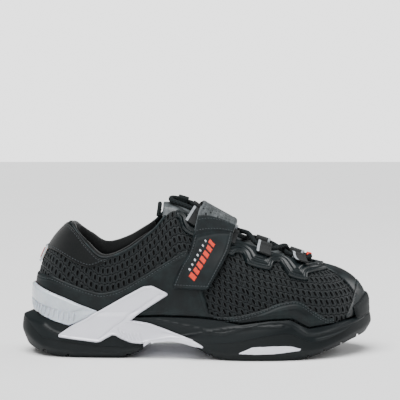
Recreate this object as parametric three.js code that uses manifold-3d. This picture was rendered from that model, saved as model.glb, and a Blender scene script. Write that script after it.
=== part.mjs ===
// A low-cut court shoe for the right foot, as an assembly of closed solids in millimetres. +X points to
// the toe, +Y to the medial side, +Z up. The origin is on the floor under the middle of the sole.
import * as THREE from "three";
import { mergeVertices } from "three/addons/utils/BufferGeometryUtils.js";
import Module from "manifold-3d";

const wasm = await Module();
wasm.setup();

// ---- driving dimensions -------------------------------------------------------------------------------

const LENGTH = 300; // heel to toe, over the outsole
const WIDTH = 112; // over the outsole at the ball
const INSTEP = 124; // height of the top corner of the throat above the floor

const GAP = 0.3; // clearance between pieces that touch
const UPPER_WALL = 1.6; // mesh upper
const OVERLAY_WALL = 1.3; // synthetic leather on the mesh
const EYESTAY_WALL = 2.2; // moulded lace stay
const CLIP_WALL = 2.4; // heel clip
const WING_WALL = 2.0; // arms of the shank on the side wall
const PLATE_WALL = 2.2; // shank under the arch
const OUTSOLE_WALL = 3.2; // rubber side wall
const CUP_PLAY = 1.3; // between the midsole and the inside of the rubber cup
const OUTSOLE_FLOOR = 4.5; // rubber tread and web
const BUMPER_WALL = 2.0; // rubber strip over the toe
const BOARD_WALL = 1.5; // lasting board
const LINER_WALL = 4.5; // removable insole
const COUNTER_WALL = 1.5; // stiffener round the heel
const PUFF_WALL = 0.9; // stiffener over the toes
const COLLAR_PAD = 6.5; // foam round the ankle
const COLLAR_ROLL = 3.5; // how far the foam stands above the top line
const PIPING_RADIUS = 1.2;
const TONGUE_WALL = 6.5;
const LACE_RADIUS = 1.7;
const LACE_PLAY = 0.7; // round the lace in its loop
const LOOP_WIDTH = 12.5; // webbing lace loop, along the throat
const LOOP_WALL = 1.1;
const LOOP_TAIL = 10;
const STRAP_WALL = 2.0;
const HOOK_WALL = 0.8; // hook and loop pads
const BADGE_WALL = 0.9;
const GROOVE_DEPTH = 2.4; // flex grooves in the outsole
const GROOVE_WIDTH = 2.2;
const LOOPS_PER_SIDE = 4;

// ---- the pattern, drawn for the base size and graded to the driving dimensions ------------------------

const BASE = { length: 300, width: 112, instep: 124 };
const GRADE = new THREE.Vector3(LENGTH / BASE.length, WIDTH / BASE.width, INSTEP / BASE.instep);
const graded = (x, y, z) => new THREE.Vector3(x, y, z).multiply(GRADE);

// Stations round each side, from the heel centre to the toe centre. The upper's wall at a station is a
// Bezier curve from the feather edge, at the sole, to the top edge, at the collar or the throat. out1 and
// up1 place its lower handle, out2 and down2 its upper one. flare is how far the sole stands out past the
// feather edge.
const COLUMNS = ["fx", "fyLat", "fyMed", "fz", "tx", "tyLat", "tyMed", "tzLat", "tzMed",
  "out1", "up1", "out2", "down2", "flare"];
const STATIONS = [
  [-133, 0, 0, 30, -109, 0, 0, 110, 110, 9, 22, 25, 18, 16.6],
  [-125, -21, 21, 29.5, -104.5, -15, 15, 107.5, 108, 8, 22, 18, 16, 12],
  [-106, -31, 31, 28.5, -92, -25, 26, 92.5, 97, 6, 20, 8, 20, 7.5],
  [-80, -34, 33, 27, -78, -31, 31, 83, 89, 4, 20, 3, 20, 6.5],
  [-50, -35, 31, 25.5, -57, -32, 30, 90.5, 95, 4, 22, 5, 20, 6],
  [-20, -38, 30, 24, -37, -27, 26, 105.5, 109, 4, 25, 10, 22, 6],
  [8, -43, 33, 21.5, -18, -20, 21, 122, 124, 4, 30, 14, 20, 7],
  [38, -47, 41, 18.5, 12, -20, 21, 107, 108, 4, 30, 16, 12, 9],
  [70, -46.5, 47, 17, 44, -19, 20, 91.5, 92.5, 4, 28, 18, 9, 9],
  [104, -37, 43, 19, 76, -17, 19, 81, 82, 6, 26, 18, 6, 9],
  [129, -17, 27, 22.5, 95, -10, 14, 75.5, 76, 10, 25, 24, 4, 9.5],
  [140, 7, 7, 25, 101, 3, 3, 74, 74, 14, 23, 34, 2, 10],
].map((row) => Object.fromEntries(COLUMNS.map((name, i) => [name, row[i]])));
// A station number counts lateral from the heel, 0, past the toe, back to 2 * TOE.
const TOE = STATIONS.length - 1;
const ROUND = 2 * TOE;

// Side-view lines of the sole, as height against length.
const GROUND = [[-150, 12], [-143, 8], [-136, 5.2], [-125, 3], [-114, 1], [-104, 0], [-62, 0], [-48, 5.5],
  [-38, 12.5], [-22, 15], [-8, 14], [0, 9.5], [12, 2.6], [24, 0], [80, 0], [90, 1.2], [100, 4], [110, 7.2],
  [130, 13.5], [146, 17.5], [150, 19]];
const RUBBER_TOP = [[-150, 31], [-144, 29], [-137, 22], [-130, 16.5], [-114, 14], [-82, 10.5], [-60, 9],
  [-48, 10.5], [-38, 16], [-22, 18.2], [-8, 17.5], [2, 14.5], [25, 14.5], [36, 16.5], [57, 21], [73, 23],
  [80, 21.5], [94, 15], [104, 15], [120, 21], [136, 28.5], [150, 33]];
const CREASE = [[-150, 33.5], [-120, 24], [-82, 21], [-40, 24], [2, 20], [33, 21.8], [53, 25], [76, 28],
  [85, 26],
  [92, 20], [104, 19], [120, 24.5], [136, 30.5], [150, 34.5]];
const RIM = [[-150, 38], [-120, 36], [-66, 34], [-30, 35], [2, 34.5], [19, 33], [37, 29.5], [62, 32.5],
  [79, 33],
  [86, 28.5], [92, 25.5], [109, 27.5], [136, 32.5], [150, 36.5]];
const TREAD_TUCK = 4; // the tread edge lies this far inside the widest line
const RUBBER_TUCK = 1;
const CREASE_TUCK = 2.2;
const RIM_OUT = 3.4; // rim of the midsole, outside the upper

// ---- small tools --------------------------------------------------------------------------------------

const V = (x, y, z) => new THREE.Vector3(x, y, z);
const lerp = THREE.MathUtils.lerp;
const range = (n) => Array.from({ length: n }, (_, i) => i);
const spread = (from, to, n) => range(n + 1).map((i) => lerp(from, to, i / n));

// Height of a side-view line at x, in graded millimetres, straight between its points.
function heightOn(line, x) {
  const at = x / GRADE.x;
  let i = 1;
  while (i < line.length - 1 && line[i][0] < at) i++;
  const [[x0, z0], [x1, z1]] = [line[i - 1], line[i]];
  return GRADE.z * lerp(z0, z1, THREE.MathUtils.clamp((at - x0) / (x1 - x0), 0, 1));
}

// Closed curve through one point per station, all the way round.
function rail(pointAt) {
  const lateral = STATIONS.map((s) => pointAt(s, -1));
  const medial = STATIONS.slice(1, TOE).reverse().map((s) => pointAt(s, 1));
  const curve = new THREE.CatmullRomCurve3([...lateral, ...medial], true, "catmullrom", 0.5);
  return (k) => curve.getPoint((((k % ROUND) + ROUND) % ROUND) / ROUND);
}

const feather = rail((s, side) => graded(s.fx, side < 0 ? s.fyLat : s.fyMed, s.fz));
const topEdge = rail((s, side) => graded(s.tx, side < 0 ? s.tyLat : s.tyMed, side < 0 ? s.tzLat : s.tzMed));
const sizes = rail((s) => V(s.out1, s.up1, s.flare));
const topSizes = rail((s) => V(s.out2, s.down2, 0));

// Level direction away from the shoe at station k.
function outward(k) {
  const d = feather(k + 0.02).sub(feather(k - 0.02));
  return V(d.y, -d.x, 0).normalize();
}

// The outside of the mesh upper: k goes round, v goes from the feather edge, 0, to the top edge, 1.
function upper(k, v) {
  const n = outward(k), low = sizes(k), high = topSizes(k);
  const p0 = feather(k), p3 = topEdge(k);
  const p1 = p0.clone().addScaledVector(n, low.x).add(V(0, 0, low.y * GRADE.z));
  const p2 = p3.clone().addScaledVector(n, high.x * GRADE.y).add(V(0, 0, -high.y * GRADE.z));
  return new THREE.CubicBezierCurve3(p0, p1, p2, p3).getPoint(v);
}

function normalOf(surface, k, v) {
  const e = 0.01;
  const along = surface(k + e, v).sub(surface(k - e, v));
  const up = surface(k, Math.min(v + e, 1)).sub(surface(k, Math.max(v - e, 0)));
  return along.cross(up).normalize();
}
const layer = (k, v, offset) => upper(k, v).addScaledVector(normalOf(upper, k, v), offset);

// The v at which the upper reaches a height.
function vAtHeight(k, z) {
  let low = 0, high = 1;
  for (let i = 0; i < 30; i++) {
    const mid = (low + high) / 2;
    if (upper(k, mid).z < z) low = mid;
    else high = mid;
  }
  return (low + high) / 2;
}

// A point on the sole's side wall: out from the feather edge by `out`, at the height of a side-view line.
function soleEdge(k, out, line, lift = 0) {
  const p = feather(k).addScaledVector(outward(k), out);
  return p.setZ(heightOn(line, p.x) + lift);
}
// The same, further in, but as high as the wall is at its edge.
function soleLedge(k, edge, inset, line, lift = 0) {
  return soleEdge(k, edge - inset, line).setZ(soleEdge(k, edge, line, lift).z);
}
const flareAt = (k) => sizes(k).z;
const treadAt = (k) => flareAt(k) - TREAD_TUCK;
const rubberAt = (k) => flareAt(k) - RUBBER_TUCK;
const rimCache = new Map();
function rimV(k) {
  if (!rimCache.has(k)) rimCache.set(k, vAtHeight(k, heightOn(RIM, feather(k).x)));
  return rimCache.get(k);
}
const rimInner = (k) => layer(k, rimV(k), GAP);
const rimOuter = (k) => layer(k, rimV(k), RIM_OUT);

// The outside of the finished shoe: w goes from the tread edge, 0, up the sole to its rim, SOLE_SHARE,
// and on over the overlays to the top edge, 1.
const OVERLAY_TOP = GAP + OVERLAY_WALL;
const SOLE_SHARE = 0.4;
const RIM_BLEND = 0.1; // share of the upper over which the rim's step runs out
function widest(k) {
  const p = soleEdge(k, flareAt(k), GROUND);
  return p.setZ(lerp(p.z, heightOn(RUBBER_TOP, p.x), 0.45));
}
const soleWall = (k) => new THREE.CatmullRomCurve3([
  soleEdge(k, treadAt(k), GROUND),
  widest(k),
  soleEdge(k, rubberAt(k), RUBBER_TOP),
  soleEdge(k, flareAt(k) - CREASE_TUCK, CREASE),
  rimOuter(k),
], false, "centripetal");
function skin(k, w) {
  if (w < SOLE_SHARE) return soleWall(k).getPoint(w / SOLE_SHARE);
  const s = (w - SOLE_SHARE) / (1 - SOLE_SHARE);
  const offset = lerp(RIM_OUT, OVERLAY_TOP, THREE.MathUtils.smoothstep(s, 0, RIM_BLEND));
  return layer(k, lerp(rimV(k), 1, s), offset);
}

// Where the skin shows a side-view point (x, z): the station and level, found on a grid and then refined.
function locate(side, x, z) {
  const target = V(x * GRADE.x, 0, z * GRADE.z);
  const miss = (k, w) => {
    const p = skin(k, w);
    return Math.hypot(p.x - target.x, p.z - target.z);
  };
  let best = { k: 0, w: 0, d: Infinity };
  for (const k of spread(0.2, TOE - 0.2, 44))
    for (const w of spread(0, 1, 32)) {
      const kk = side < 0 ? k : ROUND - k;
      const d = miss(kk, w);
      if (d < best.d) best = { k: kk, w, d };
    }
  for (let step = 0.12; step > 0.002; step *= 0.5)
    for (let again = 0; again < 4; again++)
      for (const [dk, dw] of [[step, 0], [-step, 0], [0, step / 5], [0, -step / 5]]) {
        const d = miss(best.k + dk, THREE.MathUtils.clamp(best.w + dw, 0, 1));
        if (d < best.d) best = { k: best.k + dk, w: THREE.MathUtils.clamp(best.w + dw, 0, 1), d };
      }
  return best;
}
function drape(side, x, z, offset) {
  const { k, w } = locate(side, x, z);
  return skin(k, w).addScaledVector(normalOf(skin, k, w), offset);
}

// ---- solids from grids of points ----------------------------------------------------------------------

function meshFrom(triangles) {
  const position = triangles.flat().flatMap((p) => [p.x, p.y, p.z]);
  const geometry = new THREE.BufferGeometry();
  geometry.setAttribute("position", new THREE.Float32BufferAttribute(position, 3));
  const merged = mergeVertices(geometry, 1e-3);
  const index = [];
  const old = merged.index.array;
  for (let i = 0; i < old.length; i += 3) {
    const [a, b, c] = [old[i], old[i + 1], old[i + 2]];
    if (a !== b && b !== c && a !== c) index.push(a, b, c);
  }
  merged.setIndex(index);
  return merged;
}
const quad = (a, b, c, d) => [[a, b, c], [a, c, d]];

// A sheet with thickness: outer and inner are grids of the same size, row after row; closed joins the
// last row to the first.
function slab(outer, inner, closed = false) {
  const rows = outer.length, cols = outer[0].length, faces = [];
  const next = (i) => (closed ? (i + 1) % rows : i + 1);
  for (let i = 0; i < (closed ? rows : rows - 1); i++) {
    const n = next(i);
    for (let j = 0; j < cols - 1; j++) {
      faces.push(...quad(outer[i][j], outer[i][j + 1], outer[n][j + 1], outer[n][j]));
      faces.push(...quad(inner[i][j], inner[n][j], inner[n][j + 1], inner[i][j + 1]));
    }
    const last = cols - 1;
    faces.push(...quad(outer[i][0], outer[n][0], inner[n][0], inner[i][0]));
    faces.push(...quad(outer[i][last], inner[i][last], inner[n][last], outer[n][last]));
  }
  if (!closed)
    for (let j = 0; j < cols - 1; j++) {
      faces.push(...quad(outer[0][j], inner[0][j], inner[0][j + 1], outer[0][j + 1]));
      const e = rows - 1;
      faces.push(...quad(outer[e][j], outer[e][j + 1], inner[e][j + 1], inner[e][j]));
    }
  return faceOut(meshFrom(faces));
}

// Turns a closed mesh so that its faces point out.
function faceOut(geometry) {
  const p = geometry.attributes.position, index = geometry.index.array;
  const at = (i) => V().fromBufferAttribute(p, i);
  let volume = 0;
  for (let i = 0; i < index.length; i += 3)
    volume += at(index[i]).dot(at(index[i + 1]).cross(at(index[i + 2])));
  if (volume < 0) for (let i = 0; i < index.length; i += 3) [index[i], index[i + 1]] = [index[i + 1],
    index[i]];
  return geometry;
}

// A solid from rings that go all the way round the shoe; the first and last ring are drawn in to the middle.
function ringSolid(rings) {
  const n = rings[0].length;
  const middle = (ring) => ring.map((p, i) => {
    const q = ring[(n - i) % n];
    return V((p.x + q.x) / 2, (p.y + q.y) / 2, (p.z + q.z) / 2);
  });
  const all = [middle(rings[0]), ...rings, middle(rings[rings.length - 1])];
  const faces = [];
  for (let r = 0; r < all.length - 1; r++)
    for (let i = 0; i < n; i++) {
      const j = (i + 1) % n;
      faces.push(...quad(all[r][i], all[r][j], all[r + 1][j], all[r + 1][i]));
    }
  return faceOut(meshFrom(faces));
}

const AROUND = spread(0, ROUND, 4 * ROUND).slice(0, -1);
const ring = (pointAt) => AROUND.map(pointAt);

function asSolid(geometry) {
  const bare = new THREE.BufferGeometry().setAttribute("position", geometry.attributes.position.clone());
  if (geometry.index) bare.setIndex(geometry.index.clone());
  const merged = mergeVertices(bare, 1e-4);
  return new wasm.Manifold(new wasm.Mesh({
    numProp: 3,
    vertProperties: merged.attributes.position.array,
    triVerts: new Uint32Array(merged.index.array),
  }));
}
function asGeometry(solid) {
  const made = solid.getMesh(), geometry = new THREE.BufferGeometry();
  geometry.setAttribute("position", new THREE.Float32BufferAttribute(made.vertProperties, 3));
  geometry.setIndex([...made.triVerts]);
  return geometry;
}
function block(low, high) {
  const size = high.clone().sub(low), centre = high.clone().add(low).multiplyScalar(0.5);
  return asSolid(new THREE.BoxGeometry(size.x, size.y, size.z).translate(centre.x, centre.y, centre.z));
}

// ---- materials ----------------------------------------------------------------------------------------

const finish = (color, roughness, metalness = 0) =>
  new THREE.MeshStandardMaterial({ color, roughness, metalness });
const MATERIALS = {
  mesh: finish(0x14191a, 0.9),
  leather: finish(0x1d2123, 0.45),
  moulded: finish(0x202426, 0.4),
  rubber: finish(0x181b1c, 0.7),
  foam: finish(0x1e2224, 0.65),
  lining: finish(0x0e1112, 0.95),
  silver: finish(0xdcdde6, 0.35, 0.1),
  clear: finish(0xe6e6ea, 0.2),
  board: finish(0xcfc9bb, 0.9),
  lace: finish(0x111415, 0.9),
  red: finish(0xd8402c, 0.5),
};

const shoe = new THREE.Group();
function add(name, geometry, material) {
  const mesh = new THREE.Mesh(geometry, MATERIALS[material]);
  mesh.name = name;
  shoe.add(mesh);
  return mesh;
}

// ---- bands and strips on the shoe's surfaces ----------------------------------------------------------

const ON_UPPER = { surface: upper, top: 1 };
const ON_SKIN = { surface: skin, top: 1 };

// The level at which a column of a surface crosses a side-view line.
function levelOn({ surface }, k, line, lift = 0) {
  let low = 0, high = 1;
  for (let i = 0; i < 22; i++) {
    const mid = (low + high) / 2, p = surface(k, mid);
    if (p.z < heightOn(line, p.x) + lift) low = mid;
    else high = mid;
  }
  return (low + high) / 2;
}

// Stations from one to another at whole multiples of a step, so that stacked layers have their columns in
// line.
const COARSE = 0.25, FINE = 0.125;
function columnsBetween(from, to, step) {
  const [low, high] = [Math.min(from, to), Math.max(from, to)];
  const inside = range(Math.ceil((high - low) / step) + 1).map((i) => (Math.ceil(low / step) + i) * step)
    .filter((k) => k > low + step / 5 && k < high - step / 5);
  return [low, ...inside, high];
}

// A sheet on a surface between two levels, given as functions of the station, and two offsets.
function band(on, from, to, step, low, high, rows, inner, outer) {
  const grid = (offset) => columnsBetween(from, to, step).map((k) => {
    const [a, b] = [low(k), high(k)];
    return spread(a, b, rows).map((v) => on.surface(k, v).addScaledVector(normalOf(on.surface, k, v),
      offset));
  });
  return slab(grid(outer), grid(inner));
}

// A sheet on the skin between two side-view lines of equal length.
function strip(side, lineA, lineB, across, inner, outer) {
  const found = lineA.map(([x, z], i) => spread(0, 1, across).map((s) => {
    const [x2, z2] = lineB[i];
    return locate(side, lerp(x, x2, s), lerp(z, z2, s));
  }));
  const grid = (offset) => found.map((row) => row.map(({ k, w }) =>
    skin(k, w).addScaledVector(normalOf(skin, k, w), offset)));
  return slab(grid(outer), grid(inner));
}

// ---- sole unit ----------------------------------------------------------------------------------------

const HEEL_RUBBER_END = -45 * GRADE.x;
const FORE_RUBBER_START = -3 * GRADE.x;
const FAR = 400;
const sliceX = (x0, x1) => block(V(x0, -FAR, -FAR), V(x1, FAR, FAR));

const rubberRings = () => [
  ring((k) => soleEdge(k, treadAt(k), GROUND)),
  ring(widest),
  ring((k) => soleEdge(k, rubberAt(k), RUBBER_TOP)),
  ring((k) => soleLedge(k, rubberAt(k), OUTSOLE_WALL, RUBBER_TOP)),
  ring((k) => soleLedge(k, treadAt(k), OUTSOLE_WALL, GROUND, OUTSOLE_FLOOR)),
];
const rubber = asSolid(ringSolid(rubberRings()));

const flexGroove = (x) => {
  const z = heightOn(GROUND, x * GRADE.x);
  return block(V(x * GRADE.x - GROOVE_WIDTH / 2, -FAR, z - FAR), V(x * GRADE.x + GROOVE_WIDTH / 2, FAR,
    z + GROOVE_DEPTH));
};
const HEEL_GROOVES = [-128, -108, -58];
const FORE_GROOVES = [12, 92, 106, 121, 136];
const grooved = (solid, places) => places.reduce((left, x) => left.subtract(flexGroove(x)), solid);

const WINDOW_LOW = [[34, 6.2], [49, 5.6], [64, 6], [85, 8.4]];
const WINDOW_HIGH = [[35, 7.5], [46, 12.2], [70, 13.4], [86, 10.4]];
const WINDOW_DEPTH = 2;
const widen = (line, dx, dz) => line.map(([x, z], i) => [x + (i < 2 ? -dx : dx), z + dz]);
const windowPocket = (side) => asSolid(strip(side, widen(WINDOW_LOW, GAP, -GAP),
  widen(WINDOW_HIGH, GAP, GAP), 2,
  -WINDOW_DEPTH - GAP, WINDOW_DEPTH));

function outsoles() {
  const heel = rubber.intersect(sliceX(-FAR, HEEL_RUBBER_END));
  const fore = rubber.intersect(sliceX(FORE_RUBBER_START,
    FAR)).subtract(windowPocket(-1)).subtract(windowPocket(1));
  add("outsole_heel", asGeometry(grooved(heel, HEEL_GROOVES)), "rubber");
  add("outsole_forefoot", asGeometry(grooved(fore, FORE_GROOVES)), "rubber");
  for (const [name, side] of [["window_insert_lateral", -1], ["window_insert_medial", 1]])
    add(name, strip(side, WINDOW_LOW, WINDOW_HIGH, 2, -WINDOW_DEPTH, -GAP), "silver");
}

const bed = (k, out, lift) => feather(k).addScaledVector(outward(k), out).add(V(0, 0, lift));
function midsole() {
  const cup = OUTSOLE_WALL + CUP_PLAY;
  add("midsole", ringSolid([
    ring((k) => soleLedge(k, treadAt(k), cup, GROUND, OUTSOLE_FLOOR + CUP_PLAY)),
    ring((k) => soleLedge(k, rubberAt(k), cup, RUBBER_TOP, GAP)),
    ring((k) => soleEdge(k, rubberAt(k), RUBBER_TOP, GAP)),
    ring((k) => soleEdge(k, flareAt(k) - CREASE_TUCK, CREASE)),
    ring(rimOuter),
    ring(rimInner),
    ring((k) => layer(k, rimV(k) / 2, GAP)),
    ring((k) => bed(k, GAP, -GAP)),
  ]), "moulded");
}

// Both arms of the shank's cross on one side, as strips between side-view lines.
const ARM_UP = [[[-112, 17], [-90, 20], [-66, 30], [-44, 42], [-23, 52]],
  [[-114, 22], [-96, 30], [-78, 40], [-60, 50], [-38, 58.5]]];
const ARM_DOWN = [[[-90, 12], [-72, 14], [-44, 14], [-24, 15], [2, 11.5]],
  [[-84, 34], [-60, 30], [-40, 26.5], [-24, 22.5], [4, 13]]];
const WING_LIFT = 3 * GAP;
function shankPlate() {
  const wing = (k) => flareAt(k) + WING_LIFT;
  const top = OUTSOLE_FLOOR - GAP;
  const under = asSolid(ringSolid([
    ring((k) => soleEdge(k, treadAt(k), GROUND, top - PLATE_WALL)),
    ring((k) => soleEdge(k, wing(k) + WING_WALL - GAP, GROUND, top - PLATE_WALL)),
    ring((k) => soleEdge(k, wing(k) + WING_WALL - GAP, RUBBER_TOP, 1)),
    ring((k) => soleEdge(k, wing(k), RUBBER_TOP, 1)),
    ring((k) => soleLedge(k, rubberAt(k), -RUBBER_TUCK - WING_LIFT, RUBBER_TOP, -GAP)),
    ring((k) => soleLedge(k, rubberAt(k), OUTSOLE_WALL, RUBBER_TOP, -GAP)),
    ring((k) => soleLedge(k, treadAt(k), OUTSOLE_WALL, GROUND, top)),
  ])).intersect(sliceX(HEEL_RUBBER_END + 2 * GAP, FORE_RUBBER_START - 2 * GAP));
  const arms = [-1, 1].flatMap((side) => [ARM_UP, ARM_DOWN].map(([low, high]) =>
    asSolid(strip(side, low, high, 4, WING_LIFT, WING_LIFT + WING_WALL))));
  add("shank_plate", asGeometry(arms.reduce((all, arm) => all.add(arm), under)), "silver");
}

const CLIP_LOW = [[-150, 41], [-139, 37.5], [-130.5, 34], [-118, 31], [-103, 31.5], [-93, 33]];
const CLIP_HIGH = [[-150, 60], [-135.5, 57.5], [-122.5, 53], [-110, 49], [-97.5, 44], [-88, 38.5]];
const CLIP_END = 2.35;
function heelClip() {
  add("heel_clip", band(ON_SKIN, -CLIP_END, CLIP_END, COARSE, (k) => levelOn(ON_SKIN, k, CLIP_LOW),
    (k) => levelOn(ON_SKIN, k, CLIP_HIGH), 4, WING_LIFT, WING_LIFT + CLIP_WALL), "clear");
}

// Rubber strip over the toe, from the outsole's edge up the toe cap.
const BUMPER_TOP = [[120, 36], [136, 42], [146, 50], [160, 53]];
const BUMPER_END = 0.75;
function toeBumper() {
  add("toe_bumper", band(ON_SKIN, TOE - BUMPER_END, TOE + BUMPER_END, COARSE,
    (k) => levelOn(ON_SKIN, k, RUBBER_TOP, 8 * GAP), (k) => levelOn(ON_SKIN, k, BUMPER_TOP), 5,
    WING_LIFT + GAP, WING_LIFT + GAP + BUMPER_WALL), "rubber");
}

// ---- inside the shoe ----------------------------------------------------------------------------------

const INSIDE = UPPER_WALL + GAP;
const STIFFENER_INSIDE = INSIDE + Math.max(COUNTER_WALL, PUFF_WALL) + 2 * GAP;
function insideParts() {
  add("lasting_board", ringSolid([
    ring((k) => bed(k, -INSIDE, 0)),
    ring((k) => bed(k, -INSIDE, BOARD_WALL)),
  ]), "board");
  const seat = BOARD_WALL + GAP;
  add("insole", ringSolid([
    ring((k) => bed(k, -STIFFENER_INSIDE - 1.5, seat)),
    ring((k) => bed(k, -STIFFENER_INSIDE, seat + LINER_WALL)),
    ring((k) => bed(k, -STIFFENER_INSIDE - 2.5, seat + LINER_WALL)),
    ring((k) => bed(k, -STIFFENER_INSIDE - 5, seat + LINER_WALL - 2)),
  ]), "foam");
  const aboveBoard = (k) => vAtHeight(k, feather(k).z + seat + 1);
  const stiffener = (name, from, to, top, wall) => add(name,
    band(ON_UPPER, from, to, COARSE, aboveBoard, () => top, 4, -INSIDE - GAP - wall, -INSIDE - GAP), "board");
  stiffener("heel_counter", -2.75, 2.75, 0.56, COUNTER_WALL);
  stiffener("toe_puff", TOE - 1.25, TOE + 1.25, 0.6, PUFF_WALL);
}

// ---- upper --------------------------------------------------------------------------------------------

const K_GAP = 0.02; // a gap between pieces, in stations
const QUARTER_END = 7.4;
const THROAT_TOP = 6.02; // station of the throat's top corner
const SADDLE_TOP = [[-150, 70], [-131.5, 68], [-121, 67.5], [-111.5, 64], [-101, 60], [-90.5, 56.5],
  [-80.5, 54.5],
  [-70.5, 56], [-60, 60], [-43, 70], [-26.5, 80], [-10, 89.5], [0, 93]];
const RAND_TOP = [[0, 46], [8, 42], [13, 38], [20, 36], [35, 37], [53, 41.5], [67, 46.5], [80, 48.5],
  [87, 47],
  [94, 42], [102, 36.5], [108, 33]];
const SADDLE_END = 6.15;
const RAND_END = 9.3;
const CAP_EDGE = [[100, 30], [111, 31], [119, 33], [127, 36], [131, 44.5], [134, 55], [136, 60], [160, 64]];
const CAP_START = 9.75;
const CAP_TOP = 0.915; // level where the top of the vamp meets the lace stay
const CAP_FULL = 0.7; // its half width, in stations
const SEAM = 0.008; // a gap between pieces, in levels
const PANEL_LOW = [[-140, 90], [-121.5, 88.5], [-112, 84.5], [-101, 78.5], [-90.5, 75], [-83, 77], [-76, 80]];
const PANEL_END = 3.15;
const STAY_LOW = [[-30, 116], [-17, 116], [-14.5, 111], [-11, 105], [-0.5, 99], [14.5, 93], [28, 85],
  [33, 86.5],
  [37.5, 85.5], [41.5, 78], [60, 73], [64.5, 78], [70, 77.5], [75, 68.5], [91, 64], [94, 69], [110, 71]];
const STAY_END = 10.3;
const TAB_LOW = 77, TAB_HIGH = 91; // heights of the heel tab

const both = (name, make) => {
  make(`${name}_lateral`, (k) => k, -1);
  make(`${name}_medial`, (k) => ROUND - k, 1);
};

function upperParts() {
  both("quarter_mesh", (name, at) => add(name, band(ON_UPPER, at(K_GAP / 2), at(QUARTER_END), COARSE,
    () => 0, () => 1, 5, -UPPER_WALL, 0), "mesh"));
  add("vamp_mesh", band(ON_UPPER, QUARTER_END + K_GAP, ROUND - QUARTER_END - K_GAP, COARSE,
    () => 0, () => 1, 6, -UPPER_WALL, 0), "mesh");
  const overlay = (name, from, to, step, low, high, rows, wall = OVERLAY_WALL) => add(name,
    band(ON_UPPER, from, to, step, low, high, rows, GAP, GAP + wall), "leather");
  const aboveRim = (k) => levelOn(ON_UPPER, k, RIM, 5 * GAP);
  both("saddle", (name, at) => overlay(name, at(K_GAP / 2), at(SADDLE_END), COARSE, aboveRim,
    (k) => levelOn(ON_UPPER, k, SADDLE_TOP), 5));
  both("rand", (name, at) => overlay(name, at(SADDLE_END + K_GAP), at(RAND_END), COARSE, aboveRim,
    (k) => levelOn(ON_UPPER, k, RAND_TOP), 2));
  overlay("toe_cap", CAP_START, ROUND - CAP_START, COARSE, aboveRim, (k) =>
    levelOn(ON_UPPER, k, CAP_EDGE), 5);
  overlay("vamp_top", TOE - CAP_FULL, TOE + CAP_FULL, COARSE,
    (k) => levelOn(ON_UPPER, k, CAP_EDGE) + SEAM, () => CAP_TOP, 8);
  overlay("collar_panel", -PANEL_END, PANEL_END, COARSE, (k) => levelOn(ON_UPPER, k, PANEL_LOW), () =>
    0.985, 3);
  both("eyestay", (name, at) => overlay(name, at(THROAT_TOP), at(STAY_END), FINE,
    (k) => levelOn(ON_UPPER, k, STAY_LOW), () => 1, 4, EYESTAY_WALL));
  overlay("vamp_bar", STAY_END + K_GAP, ROUND - STAY_END - K_GAP, COARSE, () => CAP_TOP + SEAM, () => 1, 2,
    EYESTAY_WALL);
  const level = (z) => (k) => levelOn(ON_SKIN, k, [[-1, z], [1, z]]);
  add("heel_tab", band(ON_SKIN, -0.3, 0.3, FINE, level(TAB_LOW), level(TAB_HIGH), 3, GAP, GAP + OVERLAY_WALL),
    "leather");
}

// A solid lofted through closed sections of equal length, with flat ends.
function loft(sections) {
  const faces = [], n = sections[0].length, centre = (loop) =>
    loop.reduce((sum, p) => sum.add(p), V(0, 0, 0)).divideScalar(n);
  for (let s = 0; s < sections.length - 1; s++)
    for (let i = 0; i < n; i++) {
      const j = (i + 1) % n;
      faces.push(...quad(sections[s][i], sections[s][j], sections[s + 1][j], sections[s + 1][i]));
    }
  const [first, last] = [sections[0], sections[sections.length - 1]];
  const [a, b] = [centre(first), centre(last)];
  for (let i = 0; i < n; i++) {
    const j = (i + 1) % n;
    faces.push([a, first[j], first[i]], [b, last[i], last[j]]);
  }
  return faceOut(meshFrom(faces));
}

const COLLAR_END = 5.05;
const COLLAR_TAPER = 0.9; // stations over which the pad runs out
const PIPING_END = 5.6;
function collar() {
  const sections = columnsBetween(-COLLAR_END, COLLAR_END, COARSE).map((k) => {
    const full = THREE.MathUtils.smoothstep(COLLAR_END - Math.abs(k), -0.5, COLLAR_TAPER);
    const pad = COLLAR_PAD * full, roll = COLLAR_ROLL * full;
    const at = (v, depth, lift = 0) => layer(k, v, -INSIDE - depth).add(V(0, 0, lift));
    const low = STIFFENER_INSIDE - INSIDE;
    return [at(0.6, low), at(0.8, 0), at(0.97, 0.6), at(1, 1.2, 0.4 * roll), at(1, 0.35 * pad + 1.2, roll),
      at(1, 0.8 * pad + 1.2, 0.8 * roll), at(0.96, pad + 1.2), at(0.8, pad), at(0.66, 0.6 * pad + low)];
  });
  add("collar_foam", loft(sections), "lining");
  const rope = new THREE.CatmullRomCurve3(spread(-PIPING_END, PIPING_END, 40).map((k) =>
    layer(k, 1, -UPPER_WALL / 2 + 0.4).add(V(0, 0, PIPING_RADIUS + 3 * GAP))));
  add("collar_piping", tube(rope, PIPING_RADIUS, 5, 44), "leather");
}
function tube(path, radius, sides, steps) {
  const section = new THREE.Shape(range(sides).map((i) => {
    const a = 2 * Math.PI * i / sides;
    return new THREE.Vector2(radius * Math.cos(a), radius * Math.sin(a));
  }));
  return new THREE.ExtrudeGeometry(section, { steps, extrudePath: path, bevelEnabled: false });
}

// ---- throat: tongue, loops and lace -------------------------------------------------------------------

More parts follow.
